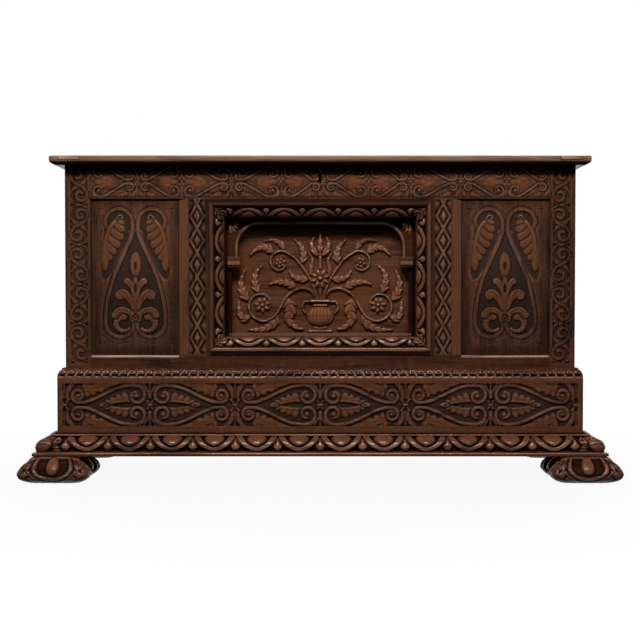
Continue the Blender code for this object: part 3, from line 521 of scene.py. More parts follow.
    def bead(
        self, ends: Path, width: float, rise: float, moat: float = 0.0, point: float = 0.5, warm: float = 1.0
    ) -> None:
        """Leave a domed oval standing.

        Args:
            ends: the ends of its long axis.
            width: its short axis.
            rise: its height over the ground.
            moat: how wide a ditch is cut round it.
            point: below 0.5 it is fuller than a true dome, above it sharper.
            warm: how red the wax has left it.
        """
        at, place = self.oval(ends, width)
        if moat:
            self.lower_to(at, place < 1 + 2 * moat / width, 0.1 * rise)
        self.raise_to(at, place < 1, rise * np.clip(1 - place**2, 0, 1) ** point, warm)

    def hollow(self, ends: Path, width: float, floor: float = 0.0) -> None:
        """Scoop out an oval.

        Args:
            ends: the ends of its long axis.
            width: its short axis.
            floor: how low its middle lies.
        """
        at, place = self.oval(ends, width)
        scoop = floor + np.clip(place**4, 0, 1) * np.maximum(self.z[at] - floor, 0)
        self.lower_to(at, place < 1, scoop)

    def cut(self, path: Path, width: float, depth: float) -> None:
        """Cut a groove along a line."""
        at, far, _ = self.near(path, width / 2 + 1)
        self.z[at] -= depth * np.clip(1 - (2 * far / width) ** 2, 0, 1)

    def sink(self, outline: Path, slope: float) -> None:
        """Sink the ground inside an outline.

        Args:
            outline: the closed outline's points.
            slope: how wide the sloping wall is.
        """
        closed = np.vstack([outline, outline[:1]])
        at, far, _ = self.near(closed, slope + 200)
        u, v = np.meshgrid(self.u[at[0]], self.v[at[1]], indexing="ij")
        inside = np.zeros(u.shape, bool)
        for (au, av), (bu, bv) in zip(closed[:-1], closed[1:]):
            if av == bv:
                continue
            inside ^= ((av > v) != (bv > v)) & (u < (bu - au) * (v - av) / (bv - av) + au)
        floor = self.face * (1 - np.clip(far / slope, 0, 1))
        self.lower_to(at, inside, floor)

    def level(self, u: Point, v: Point, height: Optional[float] = None) -> None:
        """Leave a plain rectangle standing, at the face or at a height."""
        self.z[self.window(u, v)] = self.face if height is None else height

    def finish(
        self, seed: int, worn_and_lit: float = 1.0, sunk: float = 0.5, matting: float = 0.0, dust: float = 0.0,
        crease_wax_and_shade: float = 1.1,
    ) -> None:
        """Soften the cuts, add tool marks, and work out where wax and painted shade darken the cuts and where
        hands wear and highlights are painted.

        Args:
            seed: picks the tool marks.
            worn_and_lit: how strongly the high places are rubbed pale, which also paints highlights on them.
            sunk: how much deep ground darkens by its depth alone, as painted shade in the hollows.
            matting: depth of the punched texture on the ground.
            dust: how grey the sunk ground is.
            crease_wax_and_shade: how dark the tight creases are, with wax and painted shade.
        """
        pick = np.random.default_rng(seed)
        step = float(self.u[1] - self.u[0])

        def over(mm: float, least: int = 2) -> int:
            """Turn millimetres into grid steps."""
            return max(least, round(mm / step))

        ground = np.clip(1 - self.z / (0.35 * self.face), 0, 1)
        if matting:
            self.z += matting * ground * blurred(pick.standard_normal(self.z.shape), 1) * 2
        self.z = 0.35 * self.z + 0.65 * blurred(self.z, 1)
        marks = blurred(pick.standard_normal(self.z.shape), over(4))
        self.z += 0.25 * marks / max(float(marks.std()), TINY) * 0.5
        close = self.z - blurred(self.z, over(3.0, 1))
        broad = self.z - blurred(self.z, over(9.0))
        # high places are worn pale and given painted highlights
        lift = (0.6 * close + 0.4 * broad) / (0.3 * self.face)
        rubbed_and_lit = 0.75 + 0.5 * blurred(pick.random(self.z.shape), over(12))
        self.wear_and_highlight = np.clip(worn_and_lit * lift * rubbed_and_lit, 0, 1)
        # tight creases and deep ground darken: dark wax, and painted shade
        tight = blurred(self.z, over(1.8, 1)) - self.z
        crevice = np.clip(tight / (0.16 * self.face) - 0.1, 0, 1)
        depth = np.clip(1 - self.z / self.face, 0, 1)
        self.recess = np.clip(blurred(crease_wax_and_shade * crevice, 1) + sunk * depth**1.5, 0, DARKEST)
        self.warm = blurred(np.where(depth > 0.55, -dust, self.warm), 1)

    def darken(self, more: Any) -> None:
        """Add more darkness to what finish worked out."""
        self.recess = np.clip(self.recess + more, 0, DARKEST)

    def marks(self) -> dict[str, np.ndarray]:
        """The maps that the finish reads."""
        return {key: getattr(self, key) for key in MARKS}

    def sample(self, u: np.ndarray, v: np.ndarray) -> np.ndarray:
        """Read heights between the grid's points.

        Args:
            u: places along the grid's first side.
            v: places along its second side.

        Returns:
            The height at each place.
        """
        i, j = (
            np.clip(np.interp(at, grid, np.arange(len(grid))), 0, len(grid) - 1.001)
            for at, grid in ((u, self.u), (v, self.v))
        )
        a, b = i.astype(int), j.astype(int)
        p, q = i - a, j - b
        z = self.z
        low = z[a, b] * (1 - p) + z[a + 1, b] * p
        return low * (1 - q) + (z[a, b + 1] * (1 - p) + z[a + 1, b + 1] * p) * q


@dataclass(frozen=True)
class Pen:
    """A motif's own axes laid over a relief."""

    relief: Relief
    origin: Point
    across: Point = (1.0, 0.0)
    up: Point = (0.0, 1.0)

    def at(self, points: Any) -> Path:
        """Carry a motif's points on to the relief."""
        p = np.asarray(points, float).reshape(-1, 2)
        return np.asarray(self.origin) + p[:, :1] * np.asarray(self.across) + p[:, 1:] * np.asarray(self.up)

    def flipped(self, across: float, up: float) -> "Pen":
        """The same axes with either turned about, by factors of 1 or -1."""
        return Pen(
            self.relief,
            self.origin,
            (self.across[0] * across, self.across[1] * across),
            (self.up[0] * up, self.up[1] * up),
        )

    def strap(self, path: Any, width: float, rise: float, **how: Any) -> None:
        """A band along the motif's line."""
        self.relief.strap(self.at(path), width, rise, **how)

    def leaf(self, points: Sequence[Point], width: float, rise: float, **how: Any) -> None:
        """A leaf whose rib runs smoothly through points."""
        self.relief.leaf(self.at(smooth(points)), width, rise, **how)

    def bead(self, ends: Any, width: float, rise: float, **how: Any) -> None:
        """A domed oval between two points."""
        self.relief.bead(self.at(ends), width, rise, **how)

    def knob(self, centre: Point, radius: float, rise: float, **how: Any) -> None:
        """A round dome."""
        x, y = centre
        self.relief.bead(self.at([(x - radius, y), (x + radius, y)]), 2 * radius, rise, **how)

    def lobe(self, ends: Any, width: float, rise: float, vein: Point, **how: Any) -> None:
        """A domed oval with a vein of some width and depth cut along it."""
        self.bead(ends, width, rise, **how)
        self.cut(ends, *vein)

    def hollow(self, ends: Any, width: float, floor: float = 0.0) -> None:
        """A scooped oval between two points."""
        self.relief.hollow(self.at(ends), width, floor)

    def cut(self, path: Any, width: float, depth: float) -> None:
        """A groove along the motif's line."""
        self.relief.cut(self.at(path), width, depth)

    def sink(self, outline: Any, slope: float) -> None:
        """Sunk ground inside an outline."""
        self.relief.sink(self.at(outline), slope)


# Ornaments


def heart(pen: Pen, length: float, height: float, rise: float) -> None:
    """Carve one heart of two scrolled bands lying on its side, with its neck at the origin.

    Args:
        pen: axes that start at the neck's end of the heart's own field.
        length: the field's length.
        height: the field's height.
        rise: how high the bands stand.
    """
    s = height / DRAWN

    def across(x: float) -> float:
        """Stretch only the straight part of the heart."""
        return float(np.interp(x, (0, 60, 150, 235), (0, 60 * s, length - 85 * s, length)))

    def drawn(points: Sequence[Point]) -> list[Point]:
        """Scale the drawing to this field."""
        return [(across(x), y * s) for x, y in points]

    curl, lobe = (38 * s, 26 * s), (length - 37 * s, 25 * s)
    band = np.vstack(
        [
            spiral(curl, (6 * s, 19.5 * s), (-170, 262)),
            smooth(drawn([(37, 6.5), (60, 8.5), (88, 19), (125, 37), (158, 50), (190, 53.5)]))[6:],
            spiral(lobe, (28 * s, 9 * s), (96, -262)),
        ]
    )
    lobes = [((190, 9), (183, 37), 19), ((176, 9), (161, 34), 19), ((160, 8), (143, 27), 18)]
    lobes += [((145, 6), (125, 20), 16), ((130, 3), (111, 12), 12)]
    fingers = [((54, 38), (67, 22), 15), ((68, 42), (87, 29), 15), ((88, 46), (108, 37), 13)]
    fingers += [((60, 44), (50, 58), 15)]
    bud, eye = (94, 124), (142, 190)
    for side in (pen, pen.flipped(1, -1)):
        side.leaf(drawn([(48, 40), (74, 45), (100, 50), (158, 62)]), 34 * s, rise * 0.85, lobes=2, moat=0.6)
        for foot, tip, width in fingers:
            side.lobe(drawn([foot, tip]), width * s, rise * 0.85, (2.0, 0.2 * rise), point=0.4)
        side.leaf(drawn([(24, 56), (13, 46), (8, 28), (9, 6)]), 18 * s, rise * 0.8, lobes=3, moat=0.6)
        for foot, tip, width in lobes:
            side.bead(drawn([foot, tip]), width * s, rise * 0.9, point=0.36)
        for foot, tip, width in lobes:
            side.cut(drawn([foot, tip]), 2.2, 0.2 * rise)
        stem = drawn([(194, 8), (174, 10.5), (eye[0] + 4, 8), (bud[1] - 6, 2)])
        side.strap(smooth(stem), 7 * s, rise * 0.95)
        side.strap(band, 10 * s, rise, hollow=0.1 * rise, moat=2.4 * s, shoulder=0.6)
        side.knob(curl, 6.5 * s, rise, moat=1.0)
        side.knob(lobe, 7 * s, rise, moat=1.0)
    pen.hollow(drawn([(eye[0], 0), (eye[1], 0)]), 11 * s)
    pen.bead(drawn([(bud[0], 0), (bud[1], 0)]), 14 * s, rise, moat=1.0)
    pen.hollow(drawn([(bud[0] + 10, 0), (bud[1] - 7, 0)]), 4.5 * s, 0.15 * rise)


def flat_heart(pen: Pen, length: float, height: float, rise: float) -> None:
    """Carve one shallow heart of the frieze lying on its side, with its neck at the origin.

    Args:
        pen: axes that start at the neck's end of the heart's own field.
        length: the field's length.
        height: the field's height.
        rise: how high the bands stand.
    """
    half = height / 2
    curl, lobe = (21, 0.34 * half), (length - 23, 0.54 * half)
    run = smooth(
        [(20, 0.1 * half), (32, 0.12 * half), (0.36 * length, 0.3 * half), (0.56 * length, 0.66 * half),
         (0.7 * length, 0.9 * half), (length - 25, 0.94 * half)]
    )
    band = np.vstack(
        [
            spiral(curl, (0.1 * half, 0.25 * half), (-120, 262)),
            run[6:-1],
            spiral(lobe, (0.4 * half, 0.12 * half), (96, -230)),
        ]
    )
    for side in (pen, pen.flipped(1, -1)):
        blade = [(24, 0.7 * half), (0.28 * length, 0.8 * half), (0.5 * length, 0.98 * half)]
        side.leaf(blade, 16, rise * 0.85)
        side.leaf([(16, 0.95 * half), (9, 0.7 * half), (7, 0.3 * half)], 12, rise * 0.85, lobes=2)
        side.strap(band, 7.4, rise, hollow=0.15 * rise, moat=1.7, shoulder=0.6)
        side.knob(curl, 4.5, rise, moat=1.2)
        side.knob(lobe, 5.5, rise, moat=1.2)
        side.bead([(0.44 * length, 0), (length - 20, 0.3 * half)], 0.5 * half, rise * 0.8)
    pen.bead([(0.5 * length, 0), (length - 2, 0)], 0.5 * half, rise * 0.85)


def tie(pen: Pen, height: float, rise: float, waist: float) -> None:
    """Carve the gouged fans and crossed straps that fill the field between two hearts.

    Args:
        pen: axes from the middle of the join.
        height: the field's height.
        rise: how high the straps stand.
        waist: half the width of the crossed straps.
    """
    s = height / DRAWN
    for x, y in ((1, 1), (1, -1), (-1, 1), (-1, -1)):
        fan = pen.flipped(x, y)
        for points, width, high in (
            ([(2.5, 20), (5, 38), (17, 57)], 4.4, 0.85), ([(5, 33), (12, 45), (27, 57)], 4.0, 0.8)
        ):
            fan.strap(smooth(np.multiply(points, s)), width * s, rise * high)
        fan.strap([(2 * s, 4 * s), (waist * s, 4 * s + 0.9 * waist * s)], 4.4 * s, rise * 0.9)
    for y in (1, -1):
        pen.flipped(1, y).strap([(0, 18 * s), (0, 57 * s)], 4.6 * s, rise * 0.9, moat=0.6)
    pen.bead([(-9 * s, 0), (9 * s, 0)], 9 * s, rise, moat=0.8)


def s_scroll(pen: Pen, width: float, height: float, rise: float) -> None:
    """Carve one S-scroll of the stiles, with the leaves that fill its corners.

    Args:
        pen: axes from the middle of the unit.
        width: the carved band's width.
        height: the unit's height.
        rise: how high the scroll stands.
    """
    half, tall = width / 2, height / 2
    eye = (-0.10 * width, 0.50 * tall)
    coil = spiral(eye, (7.0, 0.40 * width), (-120, 196))
    middle = smooth([tuple(coil[-1]), (-0.26 * width, 0.12 * tall), (0, 0)])
    upper = np.vstack([coil, middle[1:]])
    size = (width, tall)
    leaves = (
        ([(2, 5), (11, 6), (18, 14), (half - 1, 0.42 * tall)], 13, 0.9, 3),
        (np.multiply([(0.30, 0.95), (0.40, 0.80), (0.5, 0.56)], size), 9, 0.8, 3),
        (np.multiply([(-0.28, 0.97), (-0.44, 0.84), (-0.5, 0.62)], size), 8, 0.8, 2),
    )
    ways = (pen, pen.flipped(-1, -1))
    for turned in ways:
        for points, wide, high, lobes in leaves:
            turned.leaf(points, wide, rise * high, lobes=lobes)
    pen.strap(np.vstack([upper, -upper[::-1]]), 8.4, rise, hollow=0.3 * rise, moat=1.3)
    for turned in ways:
        turned.hollow([(eye[0] - 4, eye[1]), (eye[0] + 4, eye[1])], 8)
        for x in (-1, 1):
            turned.strap(smooth([(x * half, tall - 9), (x * 9, tall - 2), (0, tall)]), 3.6, rise * 0.9)
    pen.bead([(-8, tall), (8, tall)], 6, rise, moat=0.8)


def lattice(relief: Relief, centre: float, first: float, pitch: float, count: int, rise: float) -> None:
    """Carve two straps that weave up a muntin, with a pyramid in each of their openings.

    Args:
        relief: the muntin's face.
        centre: the middle of the carved band.
        first: the height of the lowest crossing.
        pitch: the height of one opening.
        count: how many openings there are.
        rise: how high the straps stand.
    """
    swing, strap = 18.5, 8.0
    marks = np.arange(-1, 2 * count + 2)
    reach = np.where(marks % 2 == 0, 0, np.where(marks % 4 == 1, swing, -swing))
    for turn in (1, -1):
        points = np.column_stack([centre + turn * reach, first + marks * pitch / 2])
        relief.strap(points, strap, rise, hollow=0.25 * rise)
    for k in range(count + 1):
        turn = 1 if k % 2 else -1
        y = first + k * pitch
        step = np.array((swing, pitch / 2)) * (turn * 0.36, 0.36)
        piece = np.array([(centre, y) - step, (centre, y) + step])
        relief.strap(piece, strap, rise * 1.12, hollow=0.25 * rise)
    gems = [(centre, first + (k + 0.5) * pitch, 1.6) for k in range(count)]
    gems += [(centre + side * 20, first + k * pitch, 1.1) for k in range(count + 1) for side in (-1, 1)]
    for x, y, high in gems:
        at, _ = relief.oval(np.array([(x, y - 24), (x, y + 24)]), 30)
        u, v = relief.u[at[0], None] - x, relief.v[None, at[1]] - y
        slant = np.abs(u) / 12.5 + np.abs(v) / 22.0
        relief.raise_to(at, slant < 1, rise * high * (1 - np.minimum(slant, 1)) ** 0.8)


def lunette(pen: Pen, width: float, height: float, rise: float, strap: float) -> None:
    """Carve one lunette: a hanging strap round an egg.

    Args:
        pen: axes from the middle of the strap's crown, with the open side upward.
        width: the lunette's pitch.
        height: the height of the carved band.
        rise: how high it stands.
        strap: the strap's width at its crown; it widens towards its shoulders.
    """
    reach, low = width / 2 - 0.52 * strap, 0.5 * strap
    share = np.linspace(0, 1, 21)
    half = np.column_stack([reach * share, low + (height - low) * share**1.9])
    sides = (pen, pen.flipped(-1, 1))
    throat = [(0, 0.62 * height), (0, 1.5 * height)]
    pen.strap(throat, 0.53 * width, 1.2 * rise, taper=(0.72, 1.1), shoulder=1.0)
    pen.bead([(0, 1.5 * height), (0, 0.34 * height)], 0.5 * width, 1.25 * rise)
    for side in sides:
        side.strap(half, strap, 1e-3, taper=(1.0, 1.2), moat=0.12 * strap)
    for side in sides:
        side.strap(half, strap, rise, taper=(1.0, 1.2), shoulder=0.65, hollow=0.08 * rise)


def dart(pen: Pen, width: float, height: float, rise: float) -> None:
    """Carve the drop that hangs between two lunettes, round at its foot and pointed above."""
    pen.strap([(0, 0.42 * height), (0, 0.86 * height)], 0.9 * width, rise, taper=(1.0, 0.14), shoulder=1.0)
    pen.bead([(0, 0.01 * height), (0, 0.72 * height)], width, 1.05 * rise, point=0.42, warm=0.3)


def lunette_row(relief: Relief, first: float, pitch: float, count: int, strap: float, drop: float) -> None:
    """Carve a row of lunettes with a dart at each of their joins.

    Args:
        relief: the moulding's face.
        first: where the row starts.
        pitch: the width of one lunette.
        count: how many there are.
        strap: the straps' width.
        drop: the darts' width.
    """
    height = float(relief.v[-1])
    for k in range(count):
        lunette(Pen(relief, (first + (k + 0.5) * pitch, 0)), pitch, height, relief.face, strap)
    for k in range(count + 1):
        dart(Pen(relief, (first + k * pitch, 0)), drop, height, relief.face)


def rosette(pen: Pen, centre: Point, radius: float, petals: int, rise: float) -> None:
    """Carve a flower of round petals.

    Args:
        pen: the picture's axes.
        centre: the flower's middle.
        radius: its outer radius.
        petals: how many petals it has.
        rise: how high it stands.
    """
    pen.knob(centre, radius * 0.86, rise * 0.42, moat=2.0)
    for k in range(petals):
        a = math.tau * k / petals + 0.3
        way = np.array((math.cos(a), math.sin(a)))
        ends = np.array(centre) + np.outer((0.22 * radius, radius), way)
        pen.bead(ends, radius * 2.5 / petals, rise * 0.85, point=0.45)
        pen.cut(np.array(centre) + np.outer((0.3 * radius, 0.85 * radius), way), 0.12 * radius, 0.2 * rise)
    pen.knob(centre, 0.3 * radius, rise, moat=0.8)


# Meshes


def mark(mesh: bpy.types.Mesh, key: str, values: np.ndarray) -> None:
    """Store a value that the finish reads at every vertex."""
    layer = mesh.attributes.new(key, "FLOAT", "POINT")
    layer.data.foreach_set("value", np.asarray(values, np.float32))


def stand(name: str, bm: bmesh.types.BMesh) -> bpy.types.Object:
    """Turn a shaped bmesh into a piece of the scene.

    Args:
        name: the piece's name.
        bm: its shape, which is freed.

    Returns:
        The piece.
    """
    mesh = bpy.data.meshes.new(name)
    bm.to_mesh(mesh)
    bm.free()
    piece = bpy.data.objects.new(name, mesh)
    bpy.context.scene.collection.objects.link(piece)
    return piece


def bar(name: str, outline: Sequence[Point], ends: Point, ease: float) -> bpy.types.Object:
    """Make a piece of one section, lying left to right.

    Args:
        name: the piece's name.
        outline: the section's corners, front to back and upward, in metres.
        ends: where it starts and stops.
        ease: how wide its eased edges are.

    Returns:
        The piece.
    """
    bm = bmesh.new()
    ring = [bm.verts.new((ends[0], y, z)) for y, z in outline]
    start = bmesh.ops.contextual_create(bm, geom=ring)["faces"]
    run = bmesh.ops.extrude_face_region(bm, geom=start)["geom"]
    moved = [part for part in run if isinstance(part, bmesh.types.BMVert)]
    bmesh.ops.translate(bm, verts=moved, vec=(ends[1] - ends[0], 0, 0))
    bmesh.ops.bevel(bm, geom=bm.edges[:], offset=ease, affect="EDGES", segments=2, profile=0.5, material=-1)
    bmesh.ops.recalc_face_normals(bm, faces=bm.faces[:])
    return stand(name, bm)


def grid_mesh(
    name: str,
    places: np.ndarray,
    marks: dict[str, np.ndarray],
    back: Optional[float] = None,
) -> bpy.types.Object:
    """Make a closed piece from a carved grid.

    Args:
        name: the piece's name.
        places: the place of every grid point, in metres.
        marks: named values for the finish, one for every grid point.
        back: the depth of the flat back that closes a board; without it the grid joins round on itself
            and its open ends are capped.

    Returns:
        The piece.
    """
    nu, nv = places.shape[0] - 1, places.shape[1] - 1
    bm = bmesh.new()
    bmesh.ops.create_grid(bm, x_segments=nu, y_segments=nv, size=0.5)
    shown = len(bm.verts)
    if back is not None:
        rim = [e for e in bm.edges if e.is_boundary]
        made = bmesh.ops.extrude_edge_only(bm, edges=rim)
        ring = [e for e in made["geom"] if isinstance(e, bmesh.types.BMEdge) and e.is_boundary]
        bmesh.ops.contextual_create(bm, geom=ring)
    piece = stand(name, bm)
    mesh = piece.data
    flat = np.empty(len(mesh.vertices) * 3)
    mesh.vertices.foreach_get("co", flat)
    flat = flat.reshape(-1, 3)
    i = np.rint((flat[:, 0] + 0.5) * nu).astype(int)
    j = np.rint((flat[:, 1] + 0.5) * nv).astype(int)
    co = places[i, j]
    behind = np.arange(len(co)) >= shown
    if back is not None:
        co[behind, 1] = back
    mesh.vertices.foreach_set("co", co.ravel())
    for key, values in marks.items():
        mark(mesh, key, np.where(behind, 0, values[i, j]))
    bm = bmesh.new()
    bm.from_mesh(mesh)
    if back is None:
        bmesh.ops.remove_doubles(bm, verts=bm.verts[:], dist=TINY)
        bmesh.ops.holes_fill(bm, edges=[e for e in bm.edges if e.is_boundary], sides=0)
    if bm.calc_volume(signed=True) < 0:
        bmesh.ops.reverse_faces(bm, faces=bm.faces[:])
    bm.to_mesh(mesh)
    bm.free()
    mesh.shade_smooth()
    mesh.set_sharp_from_angle(angle=math.radians(CARVED_CREASE))
    return piece


def dress(
    piece: bpy.types.Object,
    finish: OakFinish | IronFinish,
    nodes: Sequence[str] = (),
    body: Body = Body.CARCASE,
) -> None:
    """Give a piece its finish, its body and the nodes it stands for.

    Args:
        piece: the piece.
        finish: what it is made of.
        nodes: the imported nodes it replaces.
        body: the body it rides on.
    """
    piece.data.materials.clear()
    piece.data.materials.append(finish.material())
    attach(piece, body.value)
    if nodes:
        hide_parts(*nodes)
    LOG.info("%s: %d faces on %s", piece.name, len(piece.data.polygons), body.value)


def eased_copy(node: str, width: float) -> bpy.types.Object:
    """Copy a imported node, merge it, and ease its sharp edges.

    Args:
        node: the node's name.
        width: how wide the eased edge is, in metres.

    Returns:
        The copy.
    """
    bm = bmesh.new()
    bm.from_mesh(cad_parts[node].data)
    bmesh.ops.remove_doubles(bm, verts=bm.verts[:], dist=TINY)
    flat = [e for e in bm.edges if len(e.link_faces) == 2 and e.calc_face_angle() < 1e-3]
    bmesh.ops.dissolve_edges(bm, edges=flat, use_verts=True)
    piece = stand(f"{node}.dressed", bm)
    piece.data.shade_smooth()
    piece.data.set_sharp_from_angle(angle=math.radians(PLAIN_CREASE))
    ease = piece.modifiers.new("eased edges", "BEVEL")
    ease.width, ease.segments = width, 2
    ease.limit_method, ease.angle_limit = "ANGLE", math.radians(PLAIN_CREASE)
    return piece


@dataclass
class FlatFace:
    """A flat show face on the front of the coffer, cut as one relief."""

    x: Point
    z: Point
    y: float
    step: float
    face: float
    uncut: bool = False
    ease: float = 1.2  # radius of its arrises
    relief: Relief = field(init=False)

    def __post_init__(self) -> None:
        """Lay the relief's grid over the face."""
        width, height = (self.x[1] - self.x[0]) / MM, (self.z[1] - self.z[0]) / MM
        self.relief = Relief(
            np.linspace(0, width, round(width / self.step) + 1),
            np.linspace(0, height, round(height / self.step) + 1),
            self.face,
            self.uncut,
        )

    def solid(self, name: str, back: float, fall: Optional[np.ndarray] = None) -> bpy.types.Object:
        """Make the board that carries the relief.

        Args:
            name: the piece's name.
            back: the depth of its back.
            fall: how far each grid point falls behind the face before carving, in millimetres.

        Returns:
            The piece.
        """
        cut = self.relief
        u, v = np.meshgrid(cut.u, cut.v, indexing="ij")
        edge = np.minimum.reduce([u, cut.u[-1] - u, v, cut.v[-1] - v])
        ease = self.ease
        eased = ease - np.sqrt(np.clip(ease**2 - np.clip(ease - edge, 0, ease) ** 2, 0, None))
        sunk = cut.face - cut.z + eased + (0 if fall is None else fall)
        places = np.stack([self.x[0] + u * MM, self.y + sunk * MM, self.z[0] + v * MM], axis=-1)
        return grid_mesh(name, places, cut.marks(), back)


@dataclass
class Moulding:
    """A carved moulding run along one side, with mitred or square ends. Sizes in millimetres."""

    profile: Sequence[Point]
    carved: tuple[int, int]
    start: Vector
    end: Vector
    out: Vector
    up: Vector
    mitres: tuple[int, int]
    step: float
    face: float
    corner: float = 60.0
    dull: float = 0.0  # how dark its hidden upper side is painted: painted shade
    wax_and_shade: float = 0.0  # how much darker the whole of it is: wax, and painted shade where it faces away from the light
    rubbed_and_lit: float = 0.7  # how pale its arrises are: wear, and painted highlight
    chamfer: float = 2.3  # the section's chamfers are narrower than this
    ceiling: float = math.inf  # the fillet that the carving stays under
    seen: Point = (1.0, 1.0)  # how much of its reach and of its rise the eye sees
    relief: Relief = field(init=False)
    section: np.ndarray = field(init=False)
    first: int = field(init=False)
    last: int = field(init=False)

    def __post_init__(self) -> None:
        """Divide the section and lay the relief's grid over its carved part."""
        points, spans = [], {}
        closed = [*self.profile, self.profile[0]]
        for k, (a, b) in enumerate(zip(closed, closed[1:])):
            spans[k] = len(points)
            inside = self.carved[0] <= k < self.carved[1]
            span = math.dist(a, b)
            count = max(1, round(span / self.step) if inside else min(round(span / 2.5), 6))
            points += [tuple(np.add(a, np.subtract(b, a) * t / count)) for t in range(count)]
        points.append(closed[-1])
        self.section = np.array(points)
        self.first, self.last = spans[self.carved[0]], spans[self.carved[1]]
        shown = self.section[self.first : self.last + 1]
        v = np.concatenate([[0], np.cumsum(np.hypot(*(np.diff(shown, axis=0) * self.seen).T))])
        reach = float(np.median(shown[:, 0]))
        length = (self.end - self.start).length / MM
        run = length + reach * (self.mitres[0] + self.mitres[1])
        self.relief = Relief(np.linspace(0, run, round(run / self.step) + 1), v, self.face)

    @property
    def length(self) -> float:
        """The run at the middle of the carved part."""
        return float(self.relief.u[-1])

    @property
    def height(self) -> float:
        """The carved part's height, measured round its curve."""
        return float(self.relief.v[-1])

    def arrises(self) -> np.ndarray:
        """Mark the section's narrow chamfers, which are worn pale and carry a painted highlight.

        Returns:
            1 at each point of a chamfer, and 0 elsewhere.
        """
        ahead = np.hypot(*(np.roll(self.section, -1, axis=0) - self.section).T)
        narrow = (ahead > TINY) & (ahead < self.chamfer)
        return (narrow | np.roll(narrow, 1)).astype(float)

    def solid(self, name: str) -> bpy.types.Object:
        """Make the moulding.

        Args:
            name: the piece's name.

        Returns:
            The piece.
        """
        cut, section = self.relief, self.section.copy()
        shown = section[self.first : self.last + 1]
        slope = np.gradient(shown, axis=0)
        outward = np.column_stack([slope[:, 1], -slope[:, 0]])
        outward /= np.hypot(*outward.T)[:, None]
        if np.sum(outward * (shown - section.mean(axis=0))) < 0:
            outward = -outward
        run = cut.u
        o = np.tile(section[:, 0], (len(run), 1))
        w = np.tile(section[:, 1], (len(run), 1))
        part = slice(self.first, self.last + 1)
        depth = cut.z - cut.face
        o[:, part] += outward[:, 0] * depth
        w[:, part] = np.minimum(w[:, part] + outward[:, 1] * depth, self.ceiling)
        reach = float(np.median(shown[:, 0]))
        x = run[:, None] - self.mitres[0] * reach + np.zeros_like(o)
        begin, finish = run[:, None], (self.length - run)[:, None]
        zone = self.corner
        x += np.clip(1 - begin / zone, 0, 1) * self.mitres[0] * (reach - section[:, 0])
        x -= np.clip(1 - finish / zone, 0, 1) * self.mitres[1] * (reach - section[:, 0])
        along = (self.end - self.start).normalized()
        places = (
            np.array(self.start)
            + x[..., None] * MM * np.array(along)
            + o[..., None] * MM * np.array(self.out)
            + w[..., None] * MM * np.array(self.up)
        )
        marks = {key: np.zeros(o.shape) for key in MARKS}
        # the arrises are painted pale: wear, and painted highlight
        marks["wear_and_highlight"][:] = self.rubbed_and_lit * self.arrises()
        # painted shade on the hidden upper side
        marks["recess"][:, self.last + 4 :] = self.dull
        for key, values in cut.marks().items():
            marks[key][:, part] = values
        marks["recess"] = np.clip(marks["recess"] + self.wax_and_shade, 0, DARKEST)
        return grid_mesh(name, places, marks)


def elliptic(centre: Point, radii: Point, start: float, end: float) -> list[Point]:
    """Points of an elliptic arc from one angle to another, in degrees."""
    turns = np.radians(np.linspace(start, end, 13))
    return [(centre[0] + radii[0] * math.cos(t), centre[1] + radii[1] * math.sin(t)) for t in turns]


# Sub-assemblies


